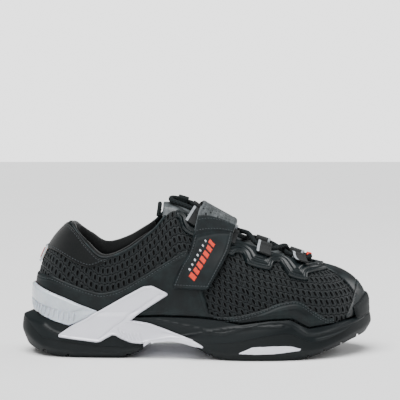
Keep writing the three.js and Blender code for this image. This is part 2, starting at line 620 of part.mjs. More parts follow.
// Frame of the throat at station k, with the tongue's middle line as its origin.
function throat(k) {
  const low = Math.max(k, THROAT_TOP), e = 0.05;
  const centreAt = (q) => topEdge(q).add(topEdge(ROUND - q)).multiplyScalar(0.5);
  const along = centreAt(low + e).sub(centreAt(low - e)).setY(0).normalize();
  const up = V(-along.z, 0, along.x);
  const half = topEdge(ROUND - low).sub(topEdge(low)).y / 2;
  const origin = centreAt(low).addScaledVector(along, (k - low) * 32 * GRADE.x);
  return { at: (y, h, d = 0) => origin.clone().add(V(0, y, 0)).addScaledVector(up,
    h).addScaledVector(along, d),
    along, up, half };
}
const TONGUE_SINK = UPPER_WALL + 4 * GAP; // of the tongue under the throat's edge
const CROWN_LOW = 4.2, CROWN_HIGH = 7; // rise of the tongue's middle, at its base and its top
const TONGUE_BASE = 9.9;
const TONGUE_END = 5.66;
const TONGUE_OPEN = 0.74; // share of its width that shows in the throat; the rest lies under the upper
const TONGUE_TUCK = 0.15; // how far that goes, in levels of the upper
const crownAt = (k) => lerp(CROWN_LOW, CROWN_HIGH, THREE.MathUtils.smoothstep(7 - k, 0, 1.3));
const tongueTop = (k) => crownAt(k) - TONGUE_SINK;
function tonguePoint(k, s, depth) {
  const { at, half } = throat(k);
  const thick = depth * TONGUE_WALL * lerp(1, 0.35, s * s) *
    lerp(0.45, 1, THREE.MathUtils.smoothstep(TONGUE_BASE - k, 0, 1.5));
  const beyond = Math.max(THROAT_TOP - k, 0);
  const y = THREE.MathUtils.clamp(s / TONGUE_OPEN, -1, 1) * (half - 2.5) * (1 - 0.3 * beyond);
  const open = at(y, tongueTop(k) - crownAt(k) * (y / half) ** 2 - thick);
  const tuck = (Math.abs(s) - TONGUE_OPEN) / (1 - TONGUE_OPEN);
  if (tuck <= 0) return open;
  const low = Math.max(k, THROAT_TOP), station = s < 0 ? low : ROUND - low;
  const shift = at(0, 0).sub(throat(low).at(0, 0));
  return layer(station, 1 - TONGUE_TUCK * tuck * (1 - 2 * beyond),
    -INSIDE - 2 * GAP - thick - 9 * beyond).add(shift);
}
const TONGUE_ACROSS = [-1, -0.87, -0.74, -0.5, -0.25, 0, 0.25, 0.5, 0.74, 0.87, 1];
const tongueGrid = (from, to, rows, depth) => spread(from, to, rows).map((k) =>
  TONGUE_ACROSS.map((s) => tonguePoint(k, s, depth)));
function tongue() {
  add("tongue", slab(tongueGrid(TONGUE_END, TONGUE_BASE, 18, 0), tongueGrid(TONGUE_END, TONGUE_BASE, 18, 1)),
    "leather");
  add("tongue_binding", slab(tongueGrid(TONGUE_END - 0.12, TONGUE_END - 2 * K_GAP, 1, 0),
    tongueGrid(TONGUE_END - 0.12, TONGUE_END - 2 * K_GAP, 1, 1)), "leather");
}

const LOOP_STATIONS = [6.56, 7.46, 8.34, 9.42];
const HOLE = LACE_RADIUS + LACE_PLAY;
const LOOP_OUTER = HOLE + LOOP_WALL;
const STAY_TOP = GAP + EYESTAY_WALL;
function loopFrame(side, number) {
  const k = side < 0 ? LOOP_STATIONS[number] : ROUND - LOOP_STATIONS[number];
  const e = 0.05;
  const along = topEdge(k + e).sub(topEdge(k - e)).normalize().multiplyScalar(-side);
  const out = normalOf(upper, k, 1);
  const up = out.clone().addScaledVector(along, -out.dot(along)).normalize();
  const inward = along.clone().cross(up).multiplyScalar(side);
  const centre = topEdge(k).addScaledVector(inward, LOOP_OUTER + 2 * GAP).addScaledVector(up, LOOP_OUTER +
    GAP);
  return { edge: topEdge(k), centre, along, up, inward };
}
function laceLoops() {
  const centre = new THREE.Vector2(LOOP_OUTER + 2 * GAP, LOOP_OUTER + GAP);
  const tailLow = STAY_TOP + GAP, tailHigh = tailLow + LOOP_WALL;
  const angleAt = (h) => Math.PI - Math.asin((h - centre.y) / LOOP_OUTER);
  const outline = new THREE.Shape();
  outline.moveTo(-LOOP_TAIL, tailLow);
  outline.absarc(centre.x, centre.y, LOOP_OUTER, angleAt(tailLow), angleAt(tailHigh) + 2 * Math.PI, false);
  outline.lineTo(-LOOP_TAIL, tailHigh);
  outline.closePath();
  outline.holes.push(new THREE.Path().absarc(centre.x, centre.y, HOLE, 0, 2 * Math.PI, false));
  for (const [name, side] of [["lateral", -1], ["medial", 1]])
    for (const number of range(LOOPS_PER_SIDE)) {
      const { edge, along, up, inward } = loopFrame(side, number);
      const flat = new THREE.ExtrudeGeometry(outline,
        { depth: LOOP_WIDTH, bevelEnabled: false, curveSegments: 6 });
      flat.translate(0, 0, -LOOP_WIDTH / 2);
      flat.applyMatrix4(new THREE.Matrix4().makeBasis(inward, up, along).setPosition(edge));
      add(`lace_loop_${name}_${number + 1}`, faceOut(asIndexed(flat)), "moulded");
    }
}
function asIndexed(geometry) {
  const bare = new THREE.BufferGeometry().setAttribute("position", geometry.attributes.position);
  return mergeVertices(bare, 1e-4);
}

const KEEPER_STATION = 6.15;
// Each lace end lies this far from the middle line, where the two run side by side.
const TAIL_OFFSET = LACE_RADIUS + 2 * GAP;
const KEEPER = { wall: 1.2, length: 9, sideRoom: 3.2 };
KEEPER.width = 2 * (TAIL_OFFSET + LACE_RADIUS + KEEPER.wall + KEEPER.sideRoom);
KEEPER.height = 2 * (LACE_RADIUS + KEEPER.wall) + 5 * GAP;
function keeper() {
  const frame = throat(KEEPER_STATION), { width, height, wall, length } = KEEPER;
  const box = (w, h0, h1) =>
    new THREE.Shape([[-w, h0], [w, h0], [w, h1], [-w, h1]].map(([x, y]) => new THREE.Vector2(x, y)));
  const base = tongueTop(KEEPER_STATION) + GAP;
  const outline = box(width / 2, base, base + height);
  outline.holes.push(box(width / 2 - wall, base + wall, base + height - wall));
  const solid = new THREE.ExtrudeGeometry(outline, { depth: length, bevelEnabled: false });
  solid.translate(0, 0, -length / 2);
  const origin = frame.at(0, 0);
  solid.applyMatrix4(new THREE.Matrix4().makeBasis(V(0, 1, 0), frame.up, frame.along).setPosition(origin));
  add("tongue_keeper", faceOut(asIndexed(solid)), "leather");
}

// The lace runs through every loop along the throat, crosses over the tongue, and its ends lie under the
// strap.
const CROSS_LOW = LACE_RADIUS + CROWN_LOW - TONGUE_SINK + 3 * GAP;
const CROSS_HIGH = CROSS_LOW + 2 * LACE_RADIUS + 2 * GAP;
function laceRoute() {
  const through = (side, number, forward) => {
    const { centre, along } = loopFrame(side, number);
    const reach = (LOOP_WIDTH / 2 + 1.6) * (forward ? 1 : -1);
    return [centre.clone().addScaledVector(along, -reach), centre,
      centre.clone().addScaledVector(along, reach)];
  };
  const crossing = (number, height) => {
    const k = (LOOP_STATIONS[number] + LOOP_STATIONS[number + 1]) / 2;
    return throat(k).at(0, height + (tongueTop(k) - (CROWN_LOW - TONGUE_SINK)));
  };
  const end = (y) => {
    const rest = (k) => throat(k).at(y, tongueTop(k) + LACE_RADIUS + 4 * GAP + KEEPER.wall);
    return [rest(6.5), rest(6.35), rest(KEEPER_STATION), rest(5.93)];
  };
  const turn = (side) => throat(5.9).at(side * 10, 6.5);
  return [
    ...end(-TAIL_OFFSET), turn(-1),
    ...through(-1, 0, true), crossing(0, CROSS_HIGH),
    ...through(1, 1, true), crossing(1, CROSS_HIGH),
    ...through(-1, 2, true), crossing(2, CROSS_HIGH),
    ...through(1, 3, true), throat(9.95).at(8, 6), throat(9.95).at(-8, 6),
    ...through(-1, 3, false), crossing(2, CROSS_LOW),
    ...through(1, 2, false), crossing(1, CROSS_LOW),
    ...through(-1, 1, false), crossing(0, CROSS_LOW),
    ...through(1, 0, false), turn(1), ...end(TAIL_OFFSET).reverse(),
  ];
}
function lace() {
  add("lace", tube(new THREE.CatmullRomCurve3(laceRoute(), false, "centripetal"), LACE_RADIUS, 6, 90),
    "lace");
}

// ---- strap --------------------------------------------------------------------------------------------

const STRAP_REST = 2 * HOOK_WALL + 5 * GAP; // height of its underside above the saddle
const STRAP_REAR = 6.55, STRAP_FRONT = 7.5; // stations that it covers over the throat
const STRAP_ARCH = [[-27, 6], [-21, 11], [-12, 12.6], [0, 13], [12, 12.6], [21, 11], [27.5, 6]];
const STRAP_LATERAL = [[[-21, 59], [9.5, 57.5]], [[-13.5, 76], [19, 74.5]], [[-6, 90], [26, 88]]];
const STRAP_MEDIAL = [[[-4, 92], [28, 89]], [[-6, 85.5], [26, 82.5]], [[-7.5, 79], [24.5, 76]]];
function strapEdges() {
  const walls = (side, rows) => rows.map((row) => row.map(([x, z]) => drape(side, x, z, STRAP_REST)));
  const arch = STRAP_ARCH.map(([y, h]) => [STRAP_REAR, STRAP_FRONT].map((k) => throat(k).at(y * GRADE.y, h)));
  const rows = [...walls(-1, STRAP_LATERAL), ...arch, ...walls(1, STRAP_MEDIAL)];
  return [0, 1].map((edge) => new THREE.CatmullRomCurve3(rows.map((row) => row[edge]), false, "centripetal"));
}
const [strapRear, strapFront] = strapEdges();
// s runs from the loose end on the lateral side to the hinge on the medial side, t from the rear edge to
// the front.
const strapSurface = (s, t) => strapRear.getPoint(s).lerp(strapFront.getPoint(s), t);
function strapSheet(s0, s1, rows, t0, t1, inner, outer) {
  const grid = (offset) => spread(s0, s1, rows).map((s) => spread(t0, t1, 3).map((t) => {
    const e = 0.004;
    const along = strapSurface(Math.min(s + e, 1), t).sub(strapSurface(Math.max(s - e, 0), t));
    const across = strapFront.getPoint(s).sub(strapRear.getPoint(s));
    const normal = across.cross(along).normalize();
    return strapSurface(s, t).addScaledVector(normal, offset);
  }));
  return slab(grid(outer), grid(inner));
}
const PAD = { from: 0.015, to: 0.16, side: 0.1 };
const ANCHOR_LOW = [[-9.5, 62], [7, 60.5], [22.5, 59.5]];
const ANCHOR_HIGH = [[-8, 77.5], [8.5, 76], [24, 74.5]];
const ANCHOR_WALL = 2.4;
function strap() {
  const under = (layerNumber) => -layerNumber * (GAP + HOOK_WALL);
  const pad = (outer) => strapSheet(PAD.from, PAD.to, 5, PAD.side, 1 - PAD.side, outer - HOOK_WALL, outer);
  add("strap_band", strapSheet(0, 1, 32, 0, 1, 0, STRAP_WALL), "leather");
  add("strap_badge", strapSheet(0.03, 0.15, 4, 0.12, 0.88, STRAP_WALL + GAP, STRAP_WALL + GAP +
    BADGE_WALL), "red");
  add("strap_hook_pad", pad(-GAP), "lace");
  add("strap_loop_pad", pad(under(1) - GAP), "lace");
  add("strap_anchor", strip(1, ANCHOR_LOW, ANCHOR_HIGH, 3, GAP, GAP + ANCHOR_WALL), "leather");
}

outsoles();
midsole();
shankPlate();
heelClip();
toeBumper();
insideParts();
upperParts();
collar();
tongue();
laceLoops();
keeper();
lace();
strap();

export default shoe;
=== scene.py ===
"""Builds the looks of a low-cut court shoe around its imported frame, laid out as an add-on."""
import math
from contextlib import contextmanager

import bpy
import bmesh
import numpy as np
from mathutils import Matrix, Vector


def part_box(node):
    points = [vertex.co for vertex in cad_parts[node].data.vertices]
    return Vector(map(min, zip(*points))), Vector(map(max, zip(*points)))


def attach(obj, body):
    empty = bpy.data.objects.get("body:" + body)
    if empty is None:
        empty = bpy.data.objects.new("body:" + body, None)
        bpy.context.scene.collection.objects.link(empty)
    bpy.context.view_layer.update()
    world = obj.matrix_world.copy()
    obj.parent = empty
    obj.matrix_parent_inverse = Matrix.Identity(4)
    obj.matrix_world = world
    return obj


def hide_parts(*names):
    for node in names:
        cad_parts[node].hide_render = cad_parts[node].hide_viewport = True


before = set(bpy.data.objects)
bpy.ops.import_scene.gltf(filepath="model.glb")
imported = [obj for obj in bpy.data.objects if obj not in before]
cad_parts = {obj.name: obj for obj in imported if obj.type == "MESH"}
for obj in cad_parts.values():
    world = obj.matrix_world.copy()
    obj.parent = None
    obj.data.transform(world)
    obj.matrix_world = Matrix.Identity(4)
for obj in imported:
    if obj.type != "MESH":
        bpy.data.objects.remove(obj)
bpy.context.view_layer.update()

bl_info = {
    "name": "Court Shoe",
    "version": (1, 0, 0),
    "blender": (4, 5, 0),
    "location": "View3D > Sidebar > Shoe",
    "description": "Builds a court shoe's upper, sole, lacing and strap over a packed frame",
    "category": "Add Mesh",
}

# ---- the shoe's form, in millimetres, graded to the frame ----------------------------------------

MM = 0.001
BASE_SIZE = np.array([299.94, 112.24, 134.13])
NODE_BOXES = np.array([[list(corner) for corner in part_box(node)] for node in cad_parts])
GRADE = (NODE_BOXES[:, 1].max(0) - NODE_BOXES[:, 0].min(0)) / MM / BASE_SIZE

# Stations from the heel centre to the toe centre: the feather edge at the sole, the top edge at the
# collar or the throat, the handles of the wall's curve, and how far the sole stands out.
STATIONS = np.array([
    # feather x, y lateral, y medial, z, top x, y lateral, y medial, z lateral, z medial, then the handles
    # out and up from the feather edge, out and down from the top edge, and the flare
    [-133, 0, 0, 30, -109, 0, 0, 110, 110, 9, 22, 25, 18, 16.6],
    [-125, -21, 21, 29.5, -104.5, -15, 15, 107.5, 108, 8, 22, 18, 16, 12],
    [-106, -31, 31, 28.5, -92, -25, 26, 92.5, 97, 6, 20, 8, 20, 7.5],
    [-80, -34, 33, 27, -78, -31, 31, 83, 89, 4, 20, 3, 20, 6.5],
    [-50, -35, 31, 25.5, -57, -32, 30, 90.5, 95, 4, 22, 5, 20, 6],
    [-20, -38, 30, 24, -37, -27, 26, 105.5, 109, 4, 25, 10, 22, 6],
    [8, -43, 33, 21.5, -18, -20, 21, 122, 124, 4, 30, 14, 20, 7],
    [38, -47, 41, 18.5, 12, -20, 21, 107, 108, 4, 30, 16, 12, 9],
    [70, -46.5, 47, 17, 44, -19, 20, 91.5, 92.5, 4, 28, 18, 9, 9],
    [104, -37, 43, 19, 76, -17, 19, 81, 82, 6, 26, 18, 6, 9],
    [129, -17, 27, 22.5, 95, -10, 14, 75.5, 76, 10, 25, 24, 4, 9.5],
    [140, 7, 7, 25, 101, 3, 3, 74, 74, 14, 23, 34, 2, 10],
])
TOE = len(STATIONS) - 1
ROUND = 2 * TOE
SEQUENCE = list(range(TOE + 1)) + list(range(TOE - 1, 0, -1))
IS_MEDIAL = np.array([i > TOE for i in range(ROUND)])

# Side-view lines of the sole, as length and height.
GROUND = [(-150, 12), (-143, 8), (-136, 5.2), (-125, 3), (-114, 1), (-104, 0), (-62, 0), (-48, 5.5),
          (-38, 12.5), (-22, 15), (-8, 14), (0, 9.5), (12, 2.6), (24, 0), (80, 0), (90, 1.2), (100, 4),
          (110, 7.2), (130, 13.5), (146, 17.5), (150, 19)]
RUBBER_TOP = [(-150, 31), (-144, 29), (-137, 22), (-130, 16.5), (-114, 14), (-82, 10.5), (-60, 9),
              (-48, 10.5), (-38, 16), (-22, 18.2), (-8, 17.5), (2, 14.5), (25, 14.5), (36, 16.5), (57, 21),
              (73, 23), (80, 21.5), (94, 15), (104, 15), (120, 21), (136, 28.5), (150, 33)]
CREASE = [(-150, 33.5), (-120, 24), (-82, 21), (-40, 24), (2, 20), (33, 21.8), (53, 25), (76, 28), (85, 26),
          (92, 20), (104, 19), (120, 24.5), (136, 30.5), (150, 34.5)]
RIM = [(-150, 38), (-120, 36), (-66, 34), (-30, 35), (2, 34.5), (19, 33), (37, 29.5), (62, 32.5), (79, 33),
       (86, 28.5), (92, 25.5), (109, 27.5), (136, 32.5), (150, 36.5)]
GAP = 0.3
LACE_RADIUS = 2.1
TREAD_TUCK, RUBBER_TUCK, CREASE_TUCK, RIM_OUT = 4.0, 1.0, 2.2, 3.4
OVERLAY_TOP = 1.6
SOLE_SHARE, RIM_BLEND, WALL_EASE = 0.4, 0.1, 0.35


def smoothstep(x, low, high):
    t = np.clip((x - low) / (high - low), 0, 1)
    return t * t * (3 - 2 * t)


def height_on(line, x):
    xs, zs = np.array(line, float).T
    return GRADE[2] * np.interp(np.asarray(x) / GRADE[0], xs, zs)


def cubic(p0, p1, p2, p3, t, ease=0.5):
    """A smooth curve from p1 to p2 that heads along its neighbours."""
    m1, m2 = (p2 - p0) * ease, (p3 - p1) * ease
    return p1 + m1 * t + (3 * (p2 - p1) - 2 * m1 - m2) * t ** 2 + (2 * (p1 - p2) + m1 + m2) * t ** 3


def rail(points):
    """A closed curve through one point per station, as a function of the station number."""
    points = np.asarray(points, float)

    def at(k):
        k = np.asarray(k, float)
        i = np.floor(k).astype(int)
        return cubic(*(points[(i + j) % ROUND] for j in (-1, 0, 1, 2)), (k - i)[..., None])
    return at


def station_column(lateral, medial=None):
    both = STATIONS[SEQUENCE]
    return both[:, lateral] if medial is None else np.where(IS_MEDIAL, both[:, medial], both[:, lateral])


feather = rail(np.stack([station_column(0), station_column(1, 2), station_column(3)], 1) * GRADE)
top_edge = rail(np.stack([station_column(4), station_column(5, 6), station_column(7, 8)], 1) * GRADE)
handles = rail(np.stack([station_column(c) for c in (9, 10, 11, 12, 13)], 1))


def unit(v):
    return v / np.maximum(np.linalg.norm(v, axis=-1, keepdims=True), 1e-9)


def outward(k):
    """Level direction away from the shoe."""
    d = feather(np.asarray(k) + 0.02) - feather(np.asarray(k) - 0.02)
    return unit(np.stack([d[..., 1], -d[..., 0], np.zeros_like(d[..., 0])], -1))


def up_by(height):
    height = np.asarray(height, float)
    return np.stack([np.zeros_like(height), np.zeros_like(height), height], -1)


def upper(k, v):
    """Outside of the mesh upper: k goes round, v from the feather edge, 0, to the top edge, 1."""
    k, v = np.broadcast_arrays(np.asarray(k, float), np.asarray(v, float))
    n, h = outward(k), handles(k)
    p0, p3 = feather(k), top_edge(k)
    p1 = p0 + n * h[..., :1] + up_by(h[..., 1] * GRADE[2])
    p2 = p3 + n * h[..., 2:3] * GRADE[1] - up_by(h[..., 3] * GRADE[2])
    t = v[..., None]
    return p0 * (1 - t) ** 3 + 3 * p1 * t * (1 - t) ** 2 + 3 * p2 * t ** 2 * (1 - t) + p3 * t ** 3


def normal_of(surface, k, v):
    e = 0.01
    k, v = np.broadcast_arrays(np.asarray(k, float), np.asarray(v, float))
    along = surface(k + e, v) - surface(k - e, v)
    up = surface(k, np.minimum(v + e, 1)) - surface(k, np.maximum(v - e, 0))
    return unit(np.cross(along, up))


def layer(k, v, offset):
    return upper(k, v) + normal_of(upper, k, v) * np.asarray(offset, float)[..., None]


def level_where(surface, k, target):
    """The level of a surface, at each station, where target(point) turns from negative to positive."""
    low, high = np.zeros_like(k), np.ones_like(k)
    for _ in range(24):
        mid = (low + high) / 2
        below = target(surface(k, mid)) < 0
        low, high = np.where(below, mid, low), np.where(below, high, mid)
    return (low + high) / 2


RIM_TABLE = np.arange(0, ROUND + 1e-9, 1 / 24)
RIM_LEVELS = level_where(upper, RIM_TABLE, lambda p: p[..., 2] - height_on(RIM, feather(RIM_TABLE)[..., 0]))


def rim_level(k):
    return np.interp(np.mod(k, ROUND), RIM_TABLE, RIM_LEVELS)


def flare(k):
    return handles(k)[..., 4]


def sole_edge(k, out, line, lift=0.0):
    p = feather(k) + outward(k) * np.asarray(out, float)[..., None]
    p[..., 2] = height_on(line, p[..., 0]) + lift
    return p


def widest(k):
    p = sole_edge(k, flare(k), GROUND)
    p[..., 2] += 0.45 * (height_on(RUBBER_TOP, p[..., 0]) - p[..., 2])
    return p


def sole_wall(k, u):
    """Side wall of the sole: u goes from the tread edge, 0, over the widest line, 1, the top of the
    rubber, 2, and the crease, 3, to the rim, 4."""
    k, u = np.broadcast_arrays(np.asarray(k, float), np.asarray(u, float))
    points = np.stack([
        sole_edge(k, flare(k) - TREAD_TUCK, GROUND), widest(k),
        sole_edge(k, flare(k) - RUBBER_TUCK, RUBBER_TOP),
        sole_edge(k, flare(k) - CREASE_TUCK, CREASE), layer(k, rim_level(k), np.full_like(k, RIM_OUT)),
    ])
    i = np.clip(np.floor(u).astype(int), 0, 3)

    def pick(j):
        j = np.clip(i + j, 0, 4)
        return np.take_along_axis(points, j[None, ..., None], 0)[0]
    return cubic(pick(-1), pick(0), pick(1), pick(2), (u - i)[..., None], WALL_EASE)


def skin(k, w):
    """Outside of the finished shoe: w goes up the sole's wall to SOLE_SHARE and over the overlays to 1."""
    k, w = np.broadcast_arrays(np.asarray(k, float), np.asarray(w, float))
    s = np.clip((w - SOLE_SHARE) / (1 - SOLE_SHARE), 0, 1)
    offset = RIM_OUT + (OVERLAY_TOP - RIM_OUT) * smoothstep(s, 0, RIM_BLEND)
    rim = rim_level(k)
    above = layer(k, rim + (1 - rim) * s, offset)
    below = sole_wall(k, np.clip(w / SOLE_SHARE, 0, 1) * 4)
    return np.where((w < SOLE_SHARE)[..., None], below, above)


class SideMap:
    """Finds where a surface shows a side-view point, for one side of the shoe."""

    def __init__(self, surface, side):
        self.surface, self.side = surface, side
        k = np.linspace(0.15, TOE - 0.15, 150)
        self.k, self.w = np.meshgrid(k if side < 0 else ROUND - k, np.linspace(0, 1, 90), indexing="ij")
        self.grid = surface(self.k, self.w)[..., [0, 2]].reshape(-1, 2)

    def __call__(self, xz):
        xz = np.asarray(xz, float) * GRADE[[0, 2]]
        found = np.empty(len(xz), int)
        for start in range(0, len(xz), 400):
            part = xz[start:start + 400]
            d = ((part[:, None] - self.grid[None]) ** 2).sum(-1)
            found[start:start + 400] = d.argmin(1)
        k, w = self.k.ravel()[found].copy(), self.w.ravel()[found].copy()
        e = 0.004
        for _ in range(6):
            p = self.surface(k, w)[:, [0, 2]]
            dk = (self.surface(k + e, w)[:, [0, 2]] - p) / e
            step = np.where(w > 0.5, -e, e)
            dw = (self.surface(k, w + step)[:, [0, 2]] - p) / step[:, None]
            miss = xz - p
            det = dk[:, 0] * dw[:, 1] - dk[:, 1] * dw[:, 0]
            det = np.where(np.abs(det) < 1.0, np.sign(det + 1e-12) * 1.0, det)
            k += np.clip((miss[:, 0] * dw[:, 1] - miss[:, 1] * dw[:, 0]) / det, -0.1, 0.1)
            w = np.clip(w + np.clip((dk[:, 0] * miss[:, 1] - dk[:, 1] * miss[:, 0]) / det, -0.05, 0.05), 0, 1)
        return k, w


SIDES = {"lateral": -1, "medial": 1}
SIDE_MAPS = {side: SideMap(skin, side) for side in (-1, 1)}


def drape(side, xz, offset=0.0):
    """Side-view points laid on the skin of one side."""
    k, w = SIDE_MAPS[side](xz)
    return skin(k, w) + normal_of(skin, k, w) * offset


# ---- meshes --------------------------------------------------------------------------------------


def placed(name, data):
    """A new object in the scene."""
    obj = bpy.data.objects.new(name, data)
    bpy.context.scene.collection.objects.link(obj)
    return obj


def shade(mesh, smooth_angle):
    mesh.shade_smooth()
    mesh.set_sharp_from_angle(angle=math.radians(smooth_angle))


@contextmanager
def editing(obj):
    """An object's mesh, open for editing."""
    work = bmesh.new()
    work.from_mesh(obj.data)
    yield work
    work.to_mesh(obj.data)
    work.free()
    obj.data.update()


def baked(obj, modifier):
    """The mesh that a modifier makes of an object, which is left without it."""
    bpy.context.view_layer.update()
    mesh = bpy.data.meshes.new_from_object(obj.evaluated_get(bpy.context.evaluated_depsgraph_get()))
    obj.modifiers.remove(modifier)
    return mesh


def at_corners(mesh, values):
    """Values of a mesh's points, repeated at the corners of its faces."""
    corners = np.zeros(len(mesh.loops), int)
    mesh.loops.foreach_get("vertex_index", corners)
    return np.asarray(values, float)[corners].ravel()


def lengths_along(path):
    """Distance along a path at each of its points."""
    return np.concatenate([[0], np.cumsum(np.linalg.norm(np.diff(path, axis=0), axis=1))])


def grid_faces(rows, cols):
    """Faces of a grid of points."""
    return [[i * cols + j, (i + 1) * cols + j, (i + 1) * cols + j + 1, i * cols + j + 1]
            for i in range(rows - 1) for j in range(cols - 1)]


def tube_faces(rows, n):
    """Faces between rings of n points each."""
    return [[r * n + i, r * n + (i + 1) % n, (r + 1) * n + (i + 1) % n, (r + 1) * n + i]
            for r in range(rows - 1) for i in range(n)]


def make_object(name, vertices, faces, smooth_angle=40):
    """A mesh object from points in millimetres."""
    mesh = bpy.data.meshes.new(name)
    mesh.from_pydata((np.asarray(vertices) * MM).tolist(), [], [list(map(int, f)) for f in faces])
    mesh.validate(verbose=False)
    shade(mesh, smooth_angle)
    return placed(name, mesh)


def join_meshes(parts):
    """Points and faces of several closed parts, as one list each."""
    points, faces, start = [], [], 0
    for vertices, polygons in parts:
        points.append(np.asarray(vertices))
        faces += [[start + i for i in f] for f in polygons]
        start += len(vertices)
    return np.concatenate(points), faces


def closed_sheet(outer, inner, faces):
    """A sheet's faces on its outer points, again on its inner points, and walls round its edges."""
    n, edges = len(outer), {}
    for f in faces:
        for a, b in zip(f, f[1:] + f[:1]):
            edges[(a, b)] = edges.get((a, b), 0) + 1
    walls = [[b, a, a + n, b + n] for (a, b) in edges if (b, a) not in edges]
    return np.concatenate([outer, inner]), faces + [[i + n for i in reversed(f)] for f in faces] + walls


def cut_grid(k, w, field):
    """Clips a grid of surface coordinates where its field is negative. Returns k, w, field and the faces."""
    inside = field > 0
    points, faces, index, cuts = [], [], {}, {}

    def corner(i, j):
        if (i, j) not in index:
            index[(i, j)] = len(points)
            points.append((k[i, j], w[i, j], field[i, j]))
        return index[(i, j)]

    def crossing(a, b):
        key = (min(a, b), max(a, b))
        if key not in cuts:
            fa, fb = field[key[0]], field[key[1]]
            t = fa / (fa - fb)
            cuts[key] = len(points)
            points.append((*(v[key[0]] + t * (v[key[1]] - v[key[0]]) for v in (k, w)), 0.0))
        return cuts[key]
    counts = (inside[:-1, :-1].astype(int) + inside[1:, :-1] + inside[1:, 1:] + inside[:-1, 1:])
    for i, j in zip(*np.nonzero(counts)):
        loop = [(i, j), (i + 1, j), (i + 1, j + 1), (i, j + 1)]
        if counts[i, j] == 4:
            faces.append([corner(*c) for c in loop])
            continue
        polygon = []
        for a, b in zip(loop, loop[1:] + loop[:1]):
            if inside[a]:
                polygon.append(corner(*a))
            if inside[a] != inside[b]:
                polygon.append(crossing(a, b))
        if len(polygon) > 2:
            faces.append(polygon)
    data = np.array(points)
    return data[:, 0], data[:, 1], data[:, 2], faces


def contains(polygon, x, y):
    """Whether points lie in a polygon, both in the same flat coordinates."""
    inside = np.zeros(x.shape, bool)
    for (ax, ay), (bx, by) in zip(polygon, np.roll(polygon, -1, 0)):
        crosses = (ay > y) != (by > y)
        at = ax + (y - ay) * (bx - ax) / (by - ay if abs(by - ay) > 1e-12 else 1e-12)
        inside ^= crosses & (x < at)
    return inside


def distance_to(line, p, closed=True):
    """Signed distance of points to an outline, positive inside, or plain distance to an open line."""
    a = np.asarray(line, float)
    b = np.roll(a, -1, 0)
    if not closed:
        a, b = a[:-1], b[:-1]
    best = np.full(len(p), 1e9)
    for (ax, az), (bx, bz) in zip(a, b):
        ex, ez = bx - ax, bz - az
        t = np.clip(((p[:, 0] - ax) * ex + (p[:, 1] - az) * ez) / (ex * ex + ez * ez + 1e-12), 0, 1)
        best = np.minimum(best, np.hypot(p[:, 0] - ax - t * ex, p[:, 1] - az - t * ez))
    return np.where(contains(a, p[:, 0], p[:, 1]), best, -best) if closed else best


def rounded(points, closed=True, steps=6, corner=0.22):
    """An outline with its corners rounded off: each turn becomes a short curve."""
    points = np.asarray(points, float)
    out = []
    n = len(points)
    for i in range(n):
        p = points[i]
        if not closed and i in (0, n - 1):
            out.append(p[None])
            continue
        before, after = points[i - 1], points[(i + 1) % n]
        a = p + (before - p) * min(corner, 6 / max(np.linalg.norm(before - p), 1e-6))
        b = p + (after - p) * min(corner, 6 / max(np.linalg.norm(after - p), 1e-6))
        t = np.linspace(0, 1, steps)[:, None]
        out.append(a * (1 - t) ** 2 + 2 * p * t * (1 - t) + b * t ** 2)
    return np.concatenate(out)


def flowing(points, closed=False, steps=8):
    """A smooth curve through its points."""
    points = np.asarray(points, float)
    n = len(points)

    def at(i):
        return points[i % n] if closed else points[min(max(i, 0), n - 1)]
    out = [cubic(at(i - 1), at(i), at(i + 1), at(i + 2), t) for i in range(n if closed else n - 1)
           for t in np.linspace(0, 1, steps, endpoint=False)]
    return np.array(out if closed else out + [points[-1]])


def round_edge(d, radius):
    """Height of a rounded edge, from 0 at the rim to 1 at a radius's distance from it."""
    return np.sqrt(np.maximum(0, 1 - (1 - np.clip(d / radius, 0, 1)) ** 2))


def bump_at(d, at, width):
    return np.exp(-((d - at) / width) ** 2)


# ---- node trees and finishes ---------------------------------------------------------------------


class Wire:
    """A socket of a node tree; arithmetic on it adds Math nodes."""

    def __init__(self, graph, socket):
        self.graph, self.socket = graph, socket

    def maths(self, operation, *others):
        return self.graph.maths(operation, self, *others)

    def __add__(self, other):
        return self.maths("ADD", other)

    def __sub__(self, other):
        return self.maths("SUBTRACT", other)

    def __rsub__(self, other):
        return self.graph.maths("SUBTRACT", other, self)

    def __mul__(self, other):
        return self.maths("MULTIPLY", other)

    def __pow__(self, other):
        return self.maths("POWER", other)

    __radd__, __rmul__ = __add__, __mul__

    def ramp(self, low, high, start=0.0, end=1.0):
        """Smooth step from start to end while this goes from low to high."""
        return self.graph.add("ShaderNodeMapRange", {"interpolation_type": "SMOOTHSTEP"},
                              {0: self, 1: low, 2: high, 3: start, 4: end})


class Graph:
    """A node tree; add takes a node's type, its settings and the values or links of its sockets."""

    def __init__(self, tree):
        self.tree = tree

    def node(self, kind, settings=None, inputs=None):
        node = self.tree.nodes.new(kind)
        for name, value in (settings or {}).items():
            setattr(node, name, value)
        for name, value in (inputs or {}).items():
            if isinstance(value, Wire):
                self.tree.links.new(value.socket, node.inputs[name])
            else:
                node.inputs[name].default_value = value
        return node

    def add(self, kind, settings=None, inputs=None, output=0):
        return Wire(self, self.node(kind, settings, inputs).outputs[output])

    def maths(self, operation, *values):
        return self.add("ShaderNodeMath", {"operation": operation}, dict(enumerate(values)))

    def vector(self, operation, first, second):
        return self.add("ShaderNodeVectorMath", {"operation": operation}, {0: first, 1: second})


def paint(red, green, blue):
    """A colour given as 0 to 255 on a screen, in linear light."""
    return tuple((c / 255) ** 2.2 for c in (red, green, blue)) + (1.0,)


